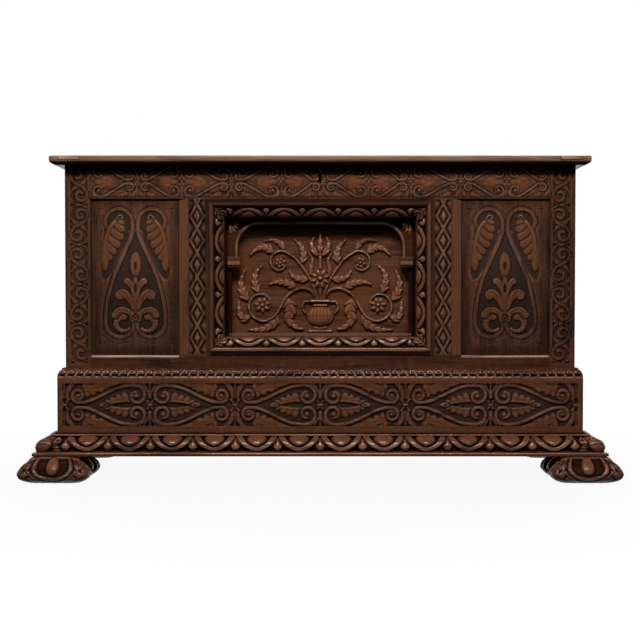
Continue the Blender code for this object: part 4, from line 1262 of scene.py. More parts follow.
@dataclass
class FrontFrame:
    """Stiles, rails, muntins and side panels of the front, with their carving in millimetres."""

    rail_depth: float = 28 * MM
    stile_units: int = 5
    stile_band: float = 48.0
    stile_margin: float = 14.0
    stile_foot: float = 0.318  # where the stiles' carving starts, in metres
    frieze_facing: tuple[int, ...] = (-1, 1, -1, 1, -1, 1, -1, -1, 1, -1)
    frieze_joins: tuple[float, ...] = (0, 0.102, 0.199, 0.307, 0.415, 0.507, 0.606, 0.697, 0.806, 0.906, 1)
    flat_ground: float = 0.6  # the frieze's ground is sunk only beside its bands
    lattice_openings: int = 6
    lattice_pitch: float = 66.8
    muntin_chamfer: float = 26.0
    muntin_fall: float = 6.0
    sunk: float = 3.6
    frieze_sunk: float = 2.3
    panel_sunk: float = 4.2
    panel_setback: float = 8 * MM
    keyhole: Point = (819.0, 832.0)  # how high its slot's foot and its head are
    keyhole_floor: float = -14.0
    nail_holes: tuple[Point, ...] = ((-22.5, 9), (17, 9), (-5, 7.5))
    plume: tuple[tuple[Point, Point, float], ...] = (
        ((-84, -124), (-66, -172), 22), ((-82, -104), (-56, -156), 27), ((-78, -88), (-44, -136), 30),
        ((-72, -74), (-34, -114), 30), ((-60, -62), (-30, -92), 25), ((-54, -52), (-30, -72), 17),
    )
    fronds: tuple[Any, ...] = (
        (((-7, -334), (-12, -318), (-27, -309), (-44, -309), (-56, -321)), 27, (0.6, 0.85), (
            (((-16, -318), (-29, -306), (-45, -306), (-58, -316)), 2.8, 0.45),
            (((-18, -324), (-30, -315), (-43, -316), (-52, -325)), 2.8, 0.4),
        )),
        (((-7, -302), (-13, -282), (-25, -266), (-36, -262), (-42, -266)), 31, (0.4, 0.95), (
            (((-18, -282), (-27, -262), (-38, -256), (-48, -262)), 2.8, 0.45),
        )),
        (((-5, -268), (-9, -248), (-16, -234), (-23, -228)), 22, (0.4, 0.95), (
            (((-11, -252), (-17, -232), (-28, -224)), 2.4, 0.35),
        )),
    )
    front: float = field(init=False)
    inner: float = field(init=False)
    middle: float = field(init=False)  # from the centre line to the muntins' outer edges
    opening: Point = field(init=False)
    top: float = field(init=False)

    def __post_init__(self) -> None:
        """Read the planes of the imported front."""
        self.middle = abs(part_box("front_right_muntin")[1].x)
        low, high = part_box("front_left_stile")
        self.front, self.inner, self.top = low.y, -high.x, high.z
        self.opening = (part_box("front_bottom_rail")[1].z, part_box("front_top_rail")[0].z)

    def build(self) -> None:
        """Make and dress every piece of the front frame."""
        for side in Side:
            self.stile(side)
            self.muntin(side)
            self.panel(side)
        self.top_rail()
        self.bottom_rail()

    def stile(self, side: Side) -> None:
        """Carve a corner stile's face with its run of S-scrolls.

        Args:
            side: which stile.
        """
        sign, node = side.value, f"front_{side.word}_stile"
        low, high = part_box(node)
        x = (low.x, -self.inner) if sign < 0 else (self.inner, high.x)
        face = FlatFace(x, (low.z, self.top), self.front, 1.2, self.sunk, uncut=True)
        cut = face.relief
        bottom, top = (self.stile_foot - low.z) / MM, (self.top - low.z) / MM - 1.5
        half = self.stile_band / 2
        centre = self.stile_margin + half
        if sign > 0:
            centre = cut.u[-1] - centre
        cut.level((centre - half, centre + half), (bottom, top), 0.0)
        unit = (top - bottom) / self.stile_units
        for k in range(self.stile_units):
            pen = Pen(cut, (centre, top - (k + 0.5) * unit)).flipped(sign if k % 2 else -sign, 1)
            s_scroll(pen, self.stile_band, unit, self.sunk)
        for edge in (centre - half, centre + half):
            cut.strap(np.array([(edge, bottom), (edge, top)]), 2.6, self.sunk)
        foot, head = ((z - low.z) / MM for z in self.opening)
        arris = cut.u if sign > 0 else cut.u[-1] - cut.u
        fall = np.clip(4 - arris, 0, 4)[:, None] * ((cut.v > foot) & (cut.v < head))[None, :]
        cut.finish(11 + sign, worn_and_lit=0.35, sunk=0.08, matting=0.3, dust=0.1, crease_wax_and_shade=0.9)
        # darker all over and a little more on the right, with the lid's painted shadow at the top
        cut.darken(0.2 + 0.04 * sign + self.painted_lid_shadow(cut))
        dress(face.solid(node + ".carved", high.y, fall), CARVED.along(Grain.UPRIGHT), [node])

    @staticmethod
    def painted_lid_shadow(cut: Relief) -> np.ndarray:
        """Painted shadow of the lid: the strip just under it is darkened."""
        return 0.75 * np.clip((cut.v - cut.v[-1] + 26) / 14, 0, 1)[None, :]

    def top_rail(self) -> None:
        """Carve the frieze of ten hearts, and the keyhole and nail holes in it."""
        node, foot = "front_top_rail", self.opening[1]
        face = FlatFace((-self.inner, self.inner), (foot, self.top), self.front, 1.2, self.frieze_sunk)
        cut = face.relief
        width, height = cut.u[-1], cut.v[-1]
        tall, middle = height - 5, height / 2 + 0.5
        cut.level((-1, width + 1), (-1, height + 1), self.flat_ground * cut.face)
        joins = [width * join for join in self.frieze_joins]
        for facing, left, right in zip(self.frieze_facing, joins, joins[1:]):
            pen = Pen(cut, (left if facing > 0 else right, middle)).flipped(facing, 1)
            flat_heart(pen, right - left, tall, cut.face)
        for join in joins:
            tie(Pen(cut, (join, middle)), tall, cut.face, 9.0)
        for band in ((-1, 3.0), (height - 2.0, height + 1)):
            cut.level((0, width + 1), band)
        cut.cut(np.array([(0, 4.0), (width, 4.0)]), 2.2, 1.2)
        cut.finish(21, worn_and_lit=0.8, sunk=0.0, matting=0.3, crease_wax_and_shade=1.3)
        cut.darken(self.painted_lid_shadow(cut))
        slot, head = (z - foot / MM for z in self.keyhole)
        # the keyhole is painted black inside: painted shade in the hole
        for path, bore in (([(0, head), (0, head + 0.01)], 9.5), ([(0, slot), (0, head)], 6.6)):
            at, far, _ = cut.near(np.array(path) + (width / 2, 0), bore)
            cut.z[at] = np.where(far < bore / 2, self.keyhole_floor, cut.z[at])
            cut.recess[at] = np.where(far < bore / 2 + 1, 1.0, cut.recess[at])
        for x, z in self.nail_holes:
            at, far, _ = cut.near(np.array([(0, 0), (0, 0.01)]) + (width / 2 + x, z), 4)
            cut.recess[at] = np.maximum(cut.recess[at], np.clip(2.4 - far, 0, 1))
            cut.z[at] -= 3.0 * np.clip(2.2 - far, 0, 1)
        dress(face.solid(node + ".carved", self.front + self.rail_depth), CARVED, [node])

    def bottom_rail(self) -> None:
        """The plain bottom rail, chamfered along its upper arris below each panel."""
        node = "front_bottom_rail"
        z = (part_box(node)[0].z, self.opening[0])
        face = FlatFace((-self.inner, self.inner), z, self.front, 3.0, self.sunk, uncut=True)
        cut = face.relief
        beside = np.abs(cut.u - cut.u[-1] / 2) > self.middle / MM
        fall = np.clip(cut.v - (cut.v[-1] - 5), 0, 5)[None, :] * beside[:, None]
        cut.finish(31, worn_and_lit=0.4)
        # the chamfer is painted pale: a painted highlight where it faces the light above
        cut.wear_and_highlight = np.maximum(cut.wear_and_highlight, 1.0 * (fall > 0.3))
        piece = face.solid(node + ".shaped", self.front + self.rail_depth, fall)
        dress(piece, PLAIN, [node])

    def muntin(self, side: Side) -> None:
        """Carve a muntin's crossing straps beside its plain chamfered strip.

        Args:
            side: which muntin.
        """
        left, node = side is Side.LEFT, f"front_{side.word}_muntin"
        low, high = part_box(node)
        face = FlatFace((low.x, high.x), self.opening, self.front, 1.1, self.sunk, uncut=True)
        cut = face.relief
        width, height = cut.u[-1], cut.v[-1]
        band = width - self.muntin_chamfer
        start = self.muntin_chamfer if left else 0.0
        cut.level((start + 2, start + band - 2), (3, height - 3), 0.0)
        first = (height - self.lattice_openings * self.lattice_pitch) / 2
        lattice(cut, start + band / 2, first, self.lattice_pitch, self.lattice_openings, self.sunk)
        cut.level((0, start + 2) if left else (band - 2, width + 1), (0, height + 1))
        cut.level((band + start - 2, width + 1) if left else (-1, 2), (0, height + 1))
        line = start if left else band
        arris = line - cut.u if left else cut.u - line
        fall = (np.clip(arris / self.muntin_chamfer, 0, 1) * self.muntin_fall)[:, None]
        cut.cut(np.array([(line, -1), (line, height + 1)]), 2.4, 1.4)
        cut.finish(41 + side.value, worn_and_lit=0.7, sunk=0.12, matting=0.2, dust=0.2)
        strip = np.clip(arris / 3, 0, 1)[:, None]
        cut.warm = np.maximum(cut.warm, 0.9 * strip)
        cut.wear_and_highlight = np.maximum(cut.wear_and_highlight, 0.2 * strip)
        streak = np.cos(0.85 * arris[:, None] + np.sin(cut.v / 47)[None, :]) * np.cos(cut.v / 83)[None, :]
        cut.darken(strip * (0.12 + 0.22 * streak))
        piece = face.solid(node + ".carved", high.y, np.broadcast_to(fall, cut.z.shape))
        dress(piece, CARVED.along(Grain.UPRIGHT), [node])

    def panel(self, side: Side) -> None:
        """Carve a side panel: a tall heart of scrolled bands round a stem of leaves.

        Args:
            side: which panel.
        """
        node = f"front_{side.word}_panel"
        inner, outer = self.middle - MM, self.inner + MM
        x = (inner, outer) if side is Side.RIGHT else (-outer, -inner)
        z = (self.opening[0] - MM, self.opening[1] + MM)
        face = FlatFace(x, z, self.front + self.panel_setback, 1.2, self.panel_sunk, uncut=True)
        cut = face.relief
        self.tall_heart(Pen(cut, (cut.u[-1] / 2, cut.v[-1])), cut.face)
        cut.finish(51 + side.value, worn_and_lit=0.75, sunk=0.24, matting=0.3, dust=1.0, crease_wax_and_shade=0.8)
        edge = np.minimum(cut.u, cut.u[-1] - cut.u)[:, None]
        rim = np.minimum(edge, np.minimum(cut.v, cut.v[-1] - cut.v)[None, :])
        lower = np.clip(2.1 - cut.v / (0.3 * cut.v[-1]), 0, 1)[None, :]
        # darker near its rim and towards the bottom; along its left and right edges a painted shadow line
        # where it meets the frame
        cut.darken(0.3 * np.clip(1.7 - rim / 18, 0, 1) + 0.24 * lower)
        cut.recess = np.maximum(cut.recess, np.clip(1.5 - edge / 3, 0, 0.9))
        dress(face.solid(node + ".carved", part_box(node)[1].y), CARVED.along(Grain.UPRIGHT), [node])

    def tall_heart(self, pen: Pen, rise: float) -> None:
        """Carve the panel's heart and leaves, drawn down from the middle of its upper edge.

        Args:
            pen: axes from that point, upward.
            rise: the uncut face above the sunk ground.
        """
        curl, lobe, eye = (-46, -66), (-42, -342), (-33, -344)
        fall = smooth(
            [(-7, -66), (-7.5, -86), (-12, -106), (-24, -134), (-44, -178), (-63, -224),
             (-76, -272), (-82, -314), (-82.5, -342)]
        )
        band = np.vstack(
            [
                spiral(curl, (26, 37), (262, 180), 16),
                spiral(curl, (37, 38.5), (180, 2), 24)[1:],
                fall[2:-1],
                spiral(lobe, (40.5, 39), (180, 352)),
                smooth([(-3, -346), (-5, -332)]),
            ]
        )
        half = np.vstack([fall, spiral(lobe, (40, 40), (180, 360)), [(2, -340), (2, -96)]])
        beside = smooth([(-86, -80), (-89, -120), (-93, -160), (-96, -200), (-86, -226), (-64, -206),
                         (-42, -160), (-22, -118), (-14, -92)])
        sides = (pen, pen.flipped(-1, 1))
        for side in sides:
            side.sink(spiral(curl, (38, 38), (0, 350)), 2.5)
            side.sink(half, 2.5)
            side.sink(beside, 6.0)
        for side in sides:
            side.strap(band, 12.0, rise, hollow=0.9, moat=1.0, shoulder=0.7)
            hook = spiral(eye, (20, 21), (90, 318))
            side.strap(hook, 20, rise, taper=(1.2, 0.45), shoulder=0.8, moat=1.0, warm=0.9)
            for turn in range(150, 280, 24):
                way = np.array((math.cos(math.radians(turn)), math.sin(math.radians(turn))))
                side.cut(np.array(eye) + np.outer((20, 34), way), 3.2, 0.34 * rise)
            for points, width, taper, veins in self.fronds:
                side.strap(smooth(points), width, rise, taper=taper, shoulder=0.7, moat=1.0, warm=0.9)
                for vein, wide, deep in veins:
                    side.cut(smooth(vein), wide, deep * rise)
            for foot, tip, width in self.plume:
                side.lobe([foot, tip], width, rise, (2.4, 0.22 * rise), moat=0.7, point=0.42)
            spine = smooth([(-54, -62), (-69, -80), (-80, -110), (-85, -145), (-85, -170)])
            side.strap(spine, 24, 1.05 * rise, taper=(0.5, 0.5), shoulder=0.95, warm=0.9)
            side.bead([(-85, -122), (-83, -202)], 25, 1.05 * rise, point=0.45)
            side.strap(spiral((-40, -54), (2, 11), (-60, 200), 24), 6, rise, shoulder=0.8, moat=1.2)
            for centre, radius, turn, wide, deep in (
                (curl, 48, (30, 190), 2.4, 0.35), (lobe, 50, (196, 322), 2.6, 0.5),
                (lobe, 56, (214, 306), 2.6, 0.4),
            ):
                side.cut(spiral(centre, (radius, radius), turn), wide, deep * rise)
            for x, y, up in ((-101, -28, -1), (-101, -400, 1)):
                for dx, dy in ((16, 3), (10, 10), (2, 16)):
                    ray = [(x, y), (x + 0.6 * dx, y + up * 0.3 * dy), (x + dx, y + up * dy)]
                    side.cut(smooth(ray), 2.6, 0.4 * rise)
        pen.bead([(0, -206), (0, -324)], 19, rise, point=0.36)
        pen.hollow([(0, -232), (0, -262)], 9)
        pen.bead([(0, -148), (0, -216)], 32, rise, moat=1.4, point=0.36)
        pen.hollow([(0, -172), (0, -200)], 10, 0.1 * rise)
        pen.knob((0, -329), 9, rise, moat=1.5)
        pen.hollow([(-5, -329), (5, -329)], 10, 0.2 * rise)
        pen.cut([(-9, -28), (0, -48), (9, -28)], 2.6, 0.5 * rise)


@dataclass
class PicturePiece:
    """The middle of the front: lunette frame, arched surround and the relief behind it."""

    long_lunettes: int = 5
    short_lunettes: int = 3
    corner: float = 27.0
    half_width: float = 227.0
    jamb: float = 246.0
    knee: float = 178.0  # how far below the rail the arch springs from its imposts
    radius: float = 60.0
    sill: float = 60.0
    head: float = 70.0
    band: float = 11.0
    depth: float = 15.0
    proud: float = 6.0
    spandrel: float = 5.0  # how high the spandrels' leaves stand
    # how much each side of the frame is darkened, and its wear and highlights lessened: wax, and painted
    # shade, most on the top, which faces down away from the light above
    wax_and_shade: ClassVar[dict[str, float]] = {"top": 0.42, "bottom": 0.06, "left": 0.27, "right": 0.24}
    corner_leaves: ClassVar[tuple[tuple[Point, Point, float], ...]] = (
        ((-6, 16), (16, 2), 12), ((-6, 16), (22, 13), 14), ((-6, 18), (16, 27), 12)
    )
    opening: Point = field(init=False)

    def __post_init__(self) -> None:
        """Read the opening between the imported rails."""
        self.opening = (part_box("front_bottom_rail")[1].z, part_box("front_top_rail")[0].z)

    def build(self) -> None:
        """Make and dress the frame, the surround and the relief."""
        for word in self.wax_and_shade:
            self.moulding(word)
        self.surround()
        for side in Side:
            self.impost(side)
        self.relief_boards()

    def section(self) -> list[Point]:
        """The frame's section: inward reach, and height towards the viewer."""
        return [
            (0.3, -28), (0.3, 0.6), (11.5, 0.6), (11.5, 11), (12.6, 12), (19.4, 12), (20.5, 10.8), (20.5, 3),
            (23.5, 3), *elliptic((23.5, -12), (27.5, 18), 90, 0), (51, -28),
        ]

    def moulding(self, word: str) -> None:
        """Carve one side of the frame with lunettes between leafy corners.

        Args:
            word: which side.
        """
        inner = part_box("front_right_muntin")[0].x
        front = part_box("front_left_stile")[0].y
        low, high = self.opening
        start, end, inward = {
            "top": ((-inner, high), (inner, high), (0, -1)),
            "bottom": ((-inner, low), (inner, low), (0, 1)),
            "left": ((-inner, low), (-inner, high), (1, 0)),
            "right": ((inner, low), (inner, high), (-1, 0)),
        }[word]
        level = word in ("top", "bottom")
        count = self.long_lunettes if level else self.short_lunettes
        run = Moulding(
            self.section(), (9, 21), Vector((start[0], front, start[1])), Vector((end[0], front, end[1])),
            Vector((inward[0], 0, inward[1])), Vector((0, -1, 0)), (-1, -1), 1.2, 7.0,
            corner=40, seen=(1, 0.3), wax_and_shade=self.wax_and_shade[word], rubbed_and_lit=0.5 - 1.1 * self.wax_and_shade[word],
        )
        cut, height = run.relief, run.height
        lunette_row(cut, self.corner, (run.length - 2 * self.corner) / count, count, 12, 20)
        for pen in (Pen(cut, (0, 0)), Pen(cut, (run.length, 0)).flipped(-1, 1)):
            for foot, tip, wide in self.corner_leaves:
                pen.lobe([foot, tip], wide, cut.face, (2.2, 0.22 * cut.face), moat=0.6, point=0.32, warm=0.3)
            pen.strap([(0, -2), (0, height + 2)], 7, 1.05 * cut.face, shoulder=1.0)
        cut.level((-1, run.length + 1), (height - 2.2, height + 1), 0.85 * cut.face)
        cut.finish(61 + len(word), worn_and_lit=1.2 - 1.8 * self.wax_and_shade[word], sunk=0.7)
        piece = run.solid(f"centre_frame_{word}.carved")
        dress(piece, MOULDED.along(Grain.LONG if level else Grain.UPRIGHT), [f"centre_frame_{word}"])

    def outline(self) -> tuple[np.ndarray, np.ndarray]:
        """Walk round the arched opening.

        Returns:
            Points round the opening, and the outward direction at each.
        """
        low, top = (z / MM for z in self.opening)
        low, high, knee = low + self.sill, top - self.head, top - self.knee
        half, radius = self.half_width, self.radius
        inset = half - radius
        points, ways = [], []

        def run(a: Point, b: Point, way: Point) -> None:
            """Straight part."""
            count = max(1, round(math.dist(a, b) / 3.0))
            for t in np.arange(count) / count:
                points.append((a[0] + (b[0] - a[0]) * t, a[1] + (b[1] - a[1]) * t))
                ways.append(way)

        def turn(centre: Point, size: float, first: float, last: float) -> None:
            """Corner, round or square."""
            for angle in np.radians(np.linspace(first, last, 73 if size else 19)[:-1]):
                way = (math.cos(angle), math.sin(angle))
                points.append((centre[0] + size * way[0], centre[1] + size * way[1]))
                ways.append(way)

        wide = self.jamb
        run((-wide, low), (wide, low), (0, -1))
        turn((wide, low), 0, -90, 0)
        run((wide, low), (wide, knee), (1, 0))
        run((wide, knee), (half, knee + 6), (1, 0))
        run((half, knee + 6), (half, high - radius), (1, 0))
        turn((inset, high - radius), radius, 0, 90)
        run((inset, high), (-inset, high), (0, 1))
        turn((-inset, high - radius), radius, 90, 180)
        run((-half, high - radius), (-half, knee + 6), (-1, 0))
        run((-half, knee + 6), (-wide, knee), (-1, 0))
        run((-wide, knee), (-wide, low), (-1, 0))
        turn((-wide, low), 0, 180, 270)
        points.append(points[0])
        ways.append(ways[0])
        return np.array(points), np.array(ways)

    def surround(self) -> None:
        """The arched surround: a moulded rim, its jambs and leaves in its spandrels."""
        node = "centre_arch"
        low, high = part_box(node)
        points, ways = self.outline()
        edge = (high.x - 0.02) / MM
        rise = np.where(ways[:, 1] > 0, (high.z - 0.01) / MM, (low.z + 0.01) / MM)
        with np.errstate(divide="ignore", invalid="ignore"):
            beside = (edge * np.sign(ways[:, 0]) - points[:, 0]) / ways[:, 0]
            over = (rise - points[:, 1]) / ways[:, 1]
        reach = np.minimum(
            np.where(np.abs(ways[:, 0]) > TINY, beside, FAR), np.where(np.abs(ways[:, 1]) > TINY, over, FAR)
        )
        share = np.concatenate([np.linspace(0, 0.5, 46), np.linspace(0.5, 1, 19)[1:]])
        far = reach[:, None] * share[None, :]
        x = points[:, :1] + ways[:, :1] * far
        z = points[:, 1:] + ways[:, 1:] * far
        top = self.opening[1] / MM
        half_band = self.band / 2
        round_over = np.clip((far - half_band) / half_band, -1, 1)
        drop = 5.5 * (1 - np.sqrt(1 - round_over**2)) + 2.5 * np.clip((far - self.band) / 3, 0, 1)
        below = (top - z > self.knee) & (np.abs(ways[:, :1]) > 0.95)
        drop = np.where(below, 9 - 3 * np.clip(far / 3, 0, 1), drop)
        sill = (ways[:, 1:] < -0.9) & (far < 16)
        drop = np.where(sill, 14 * (1 - far / 16) - 2.0 * np.clip(1.5 - np.abs(far - 7), 0, 1), drop)
        grid = Relief(np.linspace(-340, 340, 681), np.linspace(300, 800, 501), 6.0)
        for side in Side:
            pen = Pen(grid, (0, top)).flipped(side.value, 1)
            for tip in ((226, -69), (229, -80), (237, -90), (248, -95)):
                pen.bead([(251, -64), tip], 9, self.spandrel, moat=1.2, point=0.4)
        leafy = np.where(far > self.band + 1, grid.sample(x, z), 0)
        drop -= leafy
        # the rim's crest and the spandrels' leaves are painted pale: wear, and painted highlight; the jambs
        # below the imposts, deeper ground, a strip under the frame's top and the ground beside its sides get
        # painted shade
        bright = np.where(below, 0.0, 1.0) * np.clip(1 - np.abs(far - half_band) / half_band, 0, 1) * 0.6
        wear_and_highlight = np.maximum(np.where(sill, 0.25, bright), np.clip(leafy / self.spandrel, 0, 0.6))
        recess = np.where(below, 0.75, np.clip(drop / 8, 0, 1) * 0.3)
        recess = recess + 0.75 * np.clip((z - top + 90) / 18, 0, 1)
        recess = recess + 0.7 * np.clip((np.abs(x) - 250) / 20, 0, 1)
        recess = np.clip(recess - 0.9 * leafy / self.spandrel, 0, DARKEST)
        places = np.stack([x * MM, low.y + np.clip(drop, -4, 20) * MM, z * MM], axis=-1)
        back = places[:, [0, -1]]
        back[..., 1] = high.y
        whole = np.concatenate([back[:, :1], places, back[:, 1:], back[:, :1]], axis=1)
        marks = {"wear_and_highlight": np.pad(wear_and_highlight, ((0, 0), (1, 2))), "recess": np.pad(recess, ((0, 0), (1, 2)))}
        dress(grid_mesh(f"{node}.carved", whole, marks), MOULDED, [node])

    def impost(self, side: Side) -> None:
        """Mould the block from which the arch springs.

        Args:
            side: which block.
        """
        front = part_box("centre_arch")[0].y
        top = self.opening[1] - (self.knee - 19) * MM
        section = [
            (-23, 0), (14, 0), (14, 5), (12.5, 6.5), (10.5, 8), (9.3, 12), (9.3, 15), (12, 17), (12, 21.5),
            (10, 23), (6, 24), (6, 27), (4, 29), (-23, 29),
        ]
        outline = [(front - out * MM, top - down * MM) for out, down in section]
        ends = (side.value * 221 * MM, side.value * 256 * MM)
        piece = bar(f"arch_impost_{side.word}", outline, ends, 0.7 * MM)
        for key, value in zip(MARKS, (0.25, 0.0, 0.6)):
            mark(piece.data, key, np.full(len(piece.data.vertices), value))
        dress(piece, MOULDED)

    def relief_boards(self) -> None:
        """Carve the relief across the two boards of the picture."""
        low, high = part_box("centre_panel_lower")[0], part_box("centre_panel_upper")[1]
        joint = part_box("centre_panel_upper")[0].z
        face_y = low.y - self.proud * MM
        across = (low.x, high.x)
        whole = FlatFace(across, (low.z, high.z), face_y, 1.45, self.depth)
        cut = whole.relief
        sill = self.opening[0] + self.sill * MM
        self.foliage(Pen(cut, (cut.u[-1] / 2, (sill - whole.z[0]) / MM)), self.depth)
        housed = self.depth - self.proud - 0.2
        (width, height), margin = (cut.u[-1], cut.v[-1]), cut.u[-1] / 2 - self.jamb - 4
        for u in ((-1, margin), (width - margin, width + 1)):
            cut.level(u, (-1, height + 1), housed)  # the border behind the surround keeps its full thickness
        for v in ((-1, 22), (height - 22, height + 1)):
            cut.level((-1, width + 1), v, housed)
        cut.finish(71, worn_and_lit=1.1, sunk=0.12)
        shade = (high.z - whole.z[0]) / MM - cut.v
        ceiling = (high.z - self.opening[1]) / MM
        # painted shadow of the frame's top across the relief's upper part
        cut.darken(0.7 * np.clip((100 + ceiling - shade) / 22, 0, 1)[None, :])
        split = int(np.searchsorted(cut.v, (joint - whole.z[0]) / MM))
        for word, rows in (("lower", slice(0, split + 1)), ("upper", slice(split, None))):
            v = cut.v[rows]
            z = (whole.z[0] + v[0] * MM, whole.z[0] + v[-1] * MM)
            half = FlatFace(across, z, face_y, 1.45, self.depth)
            half.relief.v = v - v[0]
            for key in ("z", *MARKS):
                setattr(half.relief, key, getattr(cut, key)[:, rows])
            piece = half.solid(f"centre_panel_{word}.carved", high.y)
            dress(piece, PICTURE, [f"centre_panel_{word}"])

    @staticmethod
    def foliage(pen: Pen, rise: float) -> None:
        """Carve a vase with scrolling stems, leaves and flowers on a plain ground.

        Args:
            pen: axes from the middle of the sill.
            rise: how high the boldest parts stand.
        """
        for side in (pen, pen.flipped(-1, 1)):
            stem = smooth([(-9, 92), (-26, 118), (-58, 124), (-92, 104), (-112, 70), (-128, 46), (-152, 33)])
            low_scroll = np.vstack([stem[:-1], spiral((-162, 78), (46, 17), (-78, -420))])
            stem = smooth([(-8, 96), (-22, 138), (-44, 176), (-70, 208), (-100, 228)])
            high_scroll = np.vstack([stem[:-1], spiral((-112, 196), (34, 12), (70, 400))])
            for points, width, high, lobes in (
                ([(-96, 100), (-84, 66), (-88, 36), (-66, 14), (-44, 10)], 42, 0.66, 6),
                ([(-120, 56), (-132, 26), (-160, 10), (-204, 8)], 34, 0.6, 6),
                ([(-192, 50), (-214, 40), (-226, 58), (-228, 92)], 26, 0.6, 4),
                ([(-196, 88), (-216, 110), (-222, 146), (-210, 178)], 30, 0.62, 5),
                ([(-170, 108), (-182, 136), (-180, 168), (-160, 190)], 28, 0.6, 5),
                ([(-66, 122), (-92, 138), (-122, 142), (-146, 134)], 28, 0.62, 5),
                ([(-30, 152), (-54, 150), (-76, 158), (-88, 176)], 26, 0.6, 4),
                ([(-54, 190), (-46, 216), (-54, 242), (-74, 262)], 26, 0.6, 5),
                ([(-128, 222), (-152, 238), (-178, 234), (-198, 214)], 28, 0.6, 5),
                ([(-98, 228), (-112, 250), (-134, 260), (-160, 256)], 20, 0.5, 4),
                ([(-14, 146), (-26, 176), (-22, 204), (-34, 226)], 18, 0.5, 4),
            ):
                side.leaf(points, width, rise * high, lobes=lobes)
                side.strap(smooth(points)[:14], 5.5, rise * high, taper=(1.3, 0.3), shoulder=1.0)
            side.strap(low_scroll, 10, rise * 0.62, taper=(1.1, 0.6), shoulder=0.9, moat=1.2)
            side.strap(high_scroll, 8.5, rise * 0.62, taper=(1.0, 0.6), shoulder=0.9, moat=1.2)
            rosette(side, (-162, 78), 24, 7, rise * 0.85)
            rosette(side, (-112, 196), 17, 6, rise * 0.75)
            side.strap(smooth([(-22, 84), (-42, 88), (-50, 70), (-40, 54), (-30, 52)]), 6, rise * 0.7,
                       shoulder=0.9, moat=1.0)
        pen.strap([(0, 92), (0, 226)], 9, rise * 0.6, shoulder=0.9, moat=1.0)
        pen.strap([(-30, 5), (30, 5)], 10, rise * 0.7, shoulder=0.6, moat=1.0)
        pen.strap([(-16, 14), (16, 14)], 8, rise * 0.75, shoulder=0.8)
        pen.bead([(0, 16), (0, 78)], 78, rise, moat=1.5, point=0.5)
        for k in range(-3, 4):
            pen.cut(smooth([(k * 4.5, 20), (k * 10.5, 44), (k * 9, 66)]), 3.2, rise * 0.16)
        pen.strap([(-17, 77), (17, 77)], 9, rise * 0.85, shoulder=0.8)
        pen.strap([(-25, 89), (25, 89)], 10, rise * 0.9, shoulder=0.7, moat=1.0)
        rosette(pen, (0, 152), 29, 8, rise)
        for points in ([(0, 214), (0, 236), (0, 262), (0, 284)],
                       [(-4, 214), (-18, 230), (-24, 250), (-16, 270)],
                       [(4, 214), (18, 230), (24, 250), (16, 270)]):
            pen.leaf(points, 22, rise * 0.75, lobes=3)
        pen.strap([(-236, -3), (236, -3)], 7, rise * 0.5, shoulder=0.9)


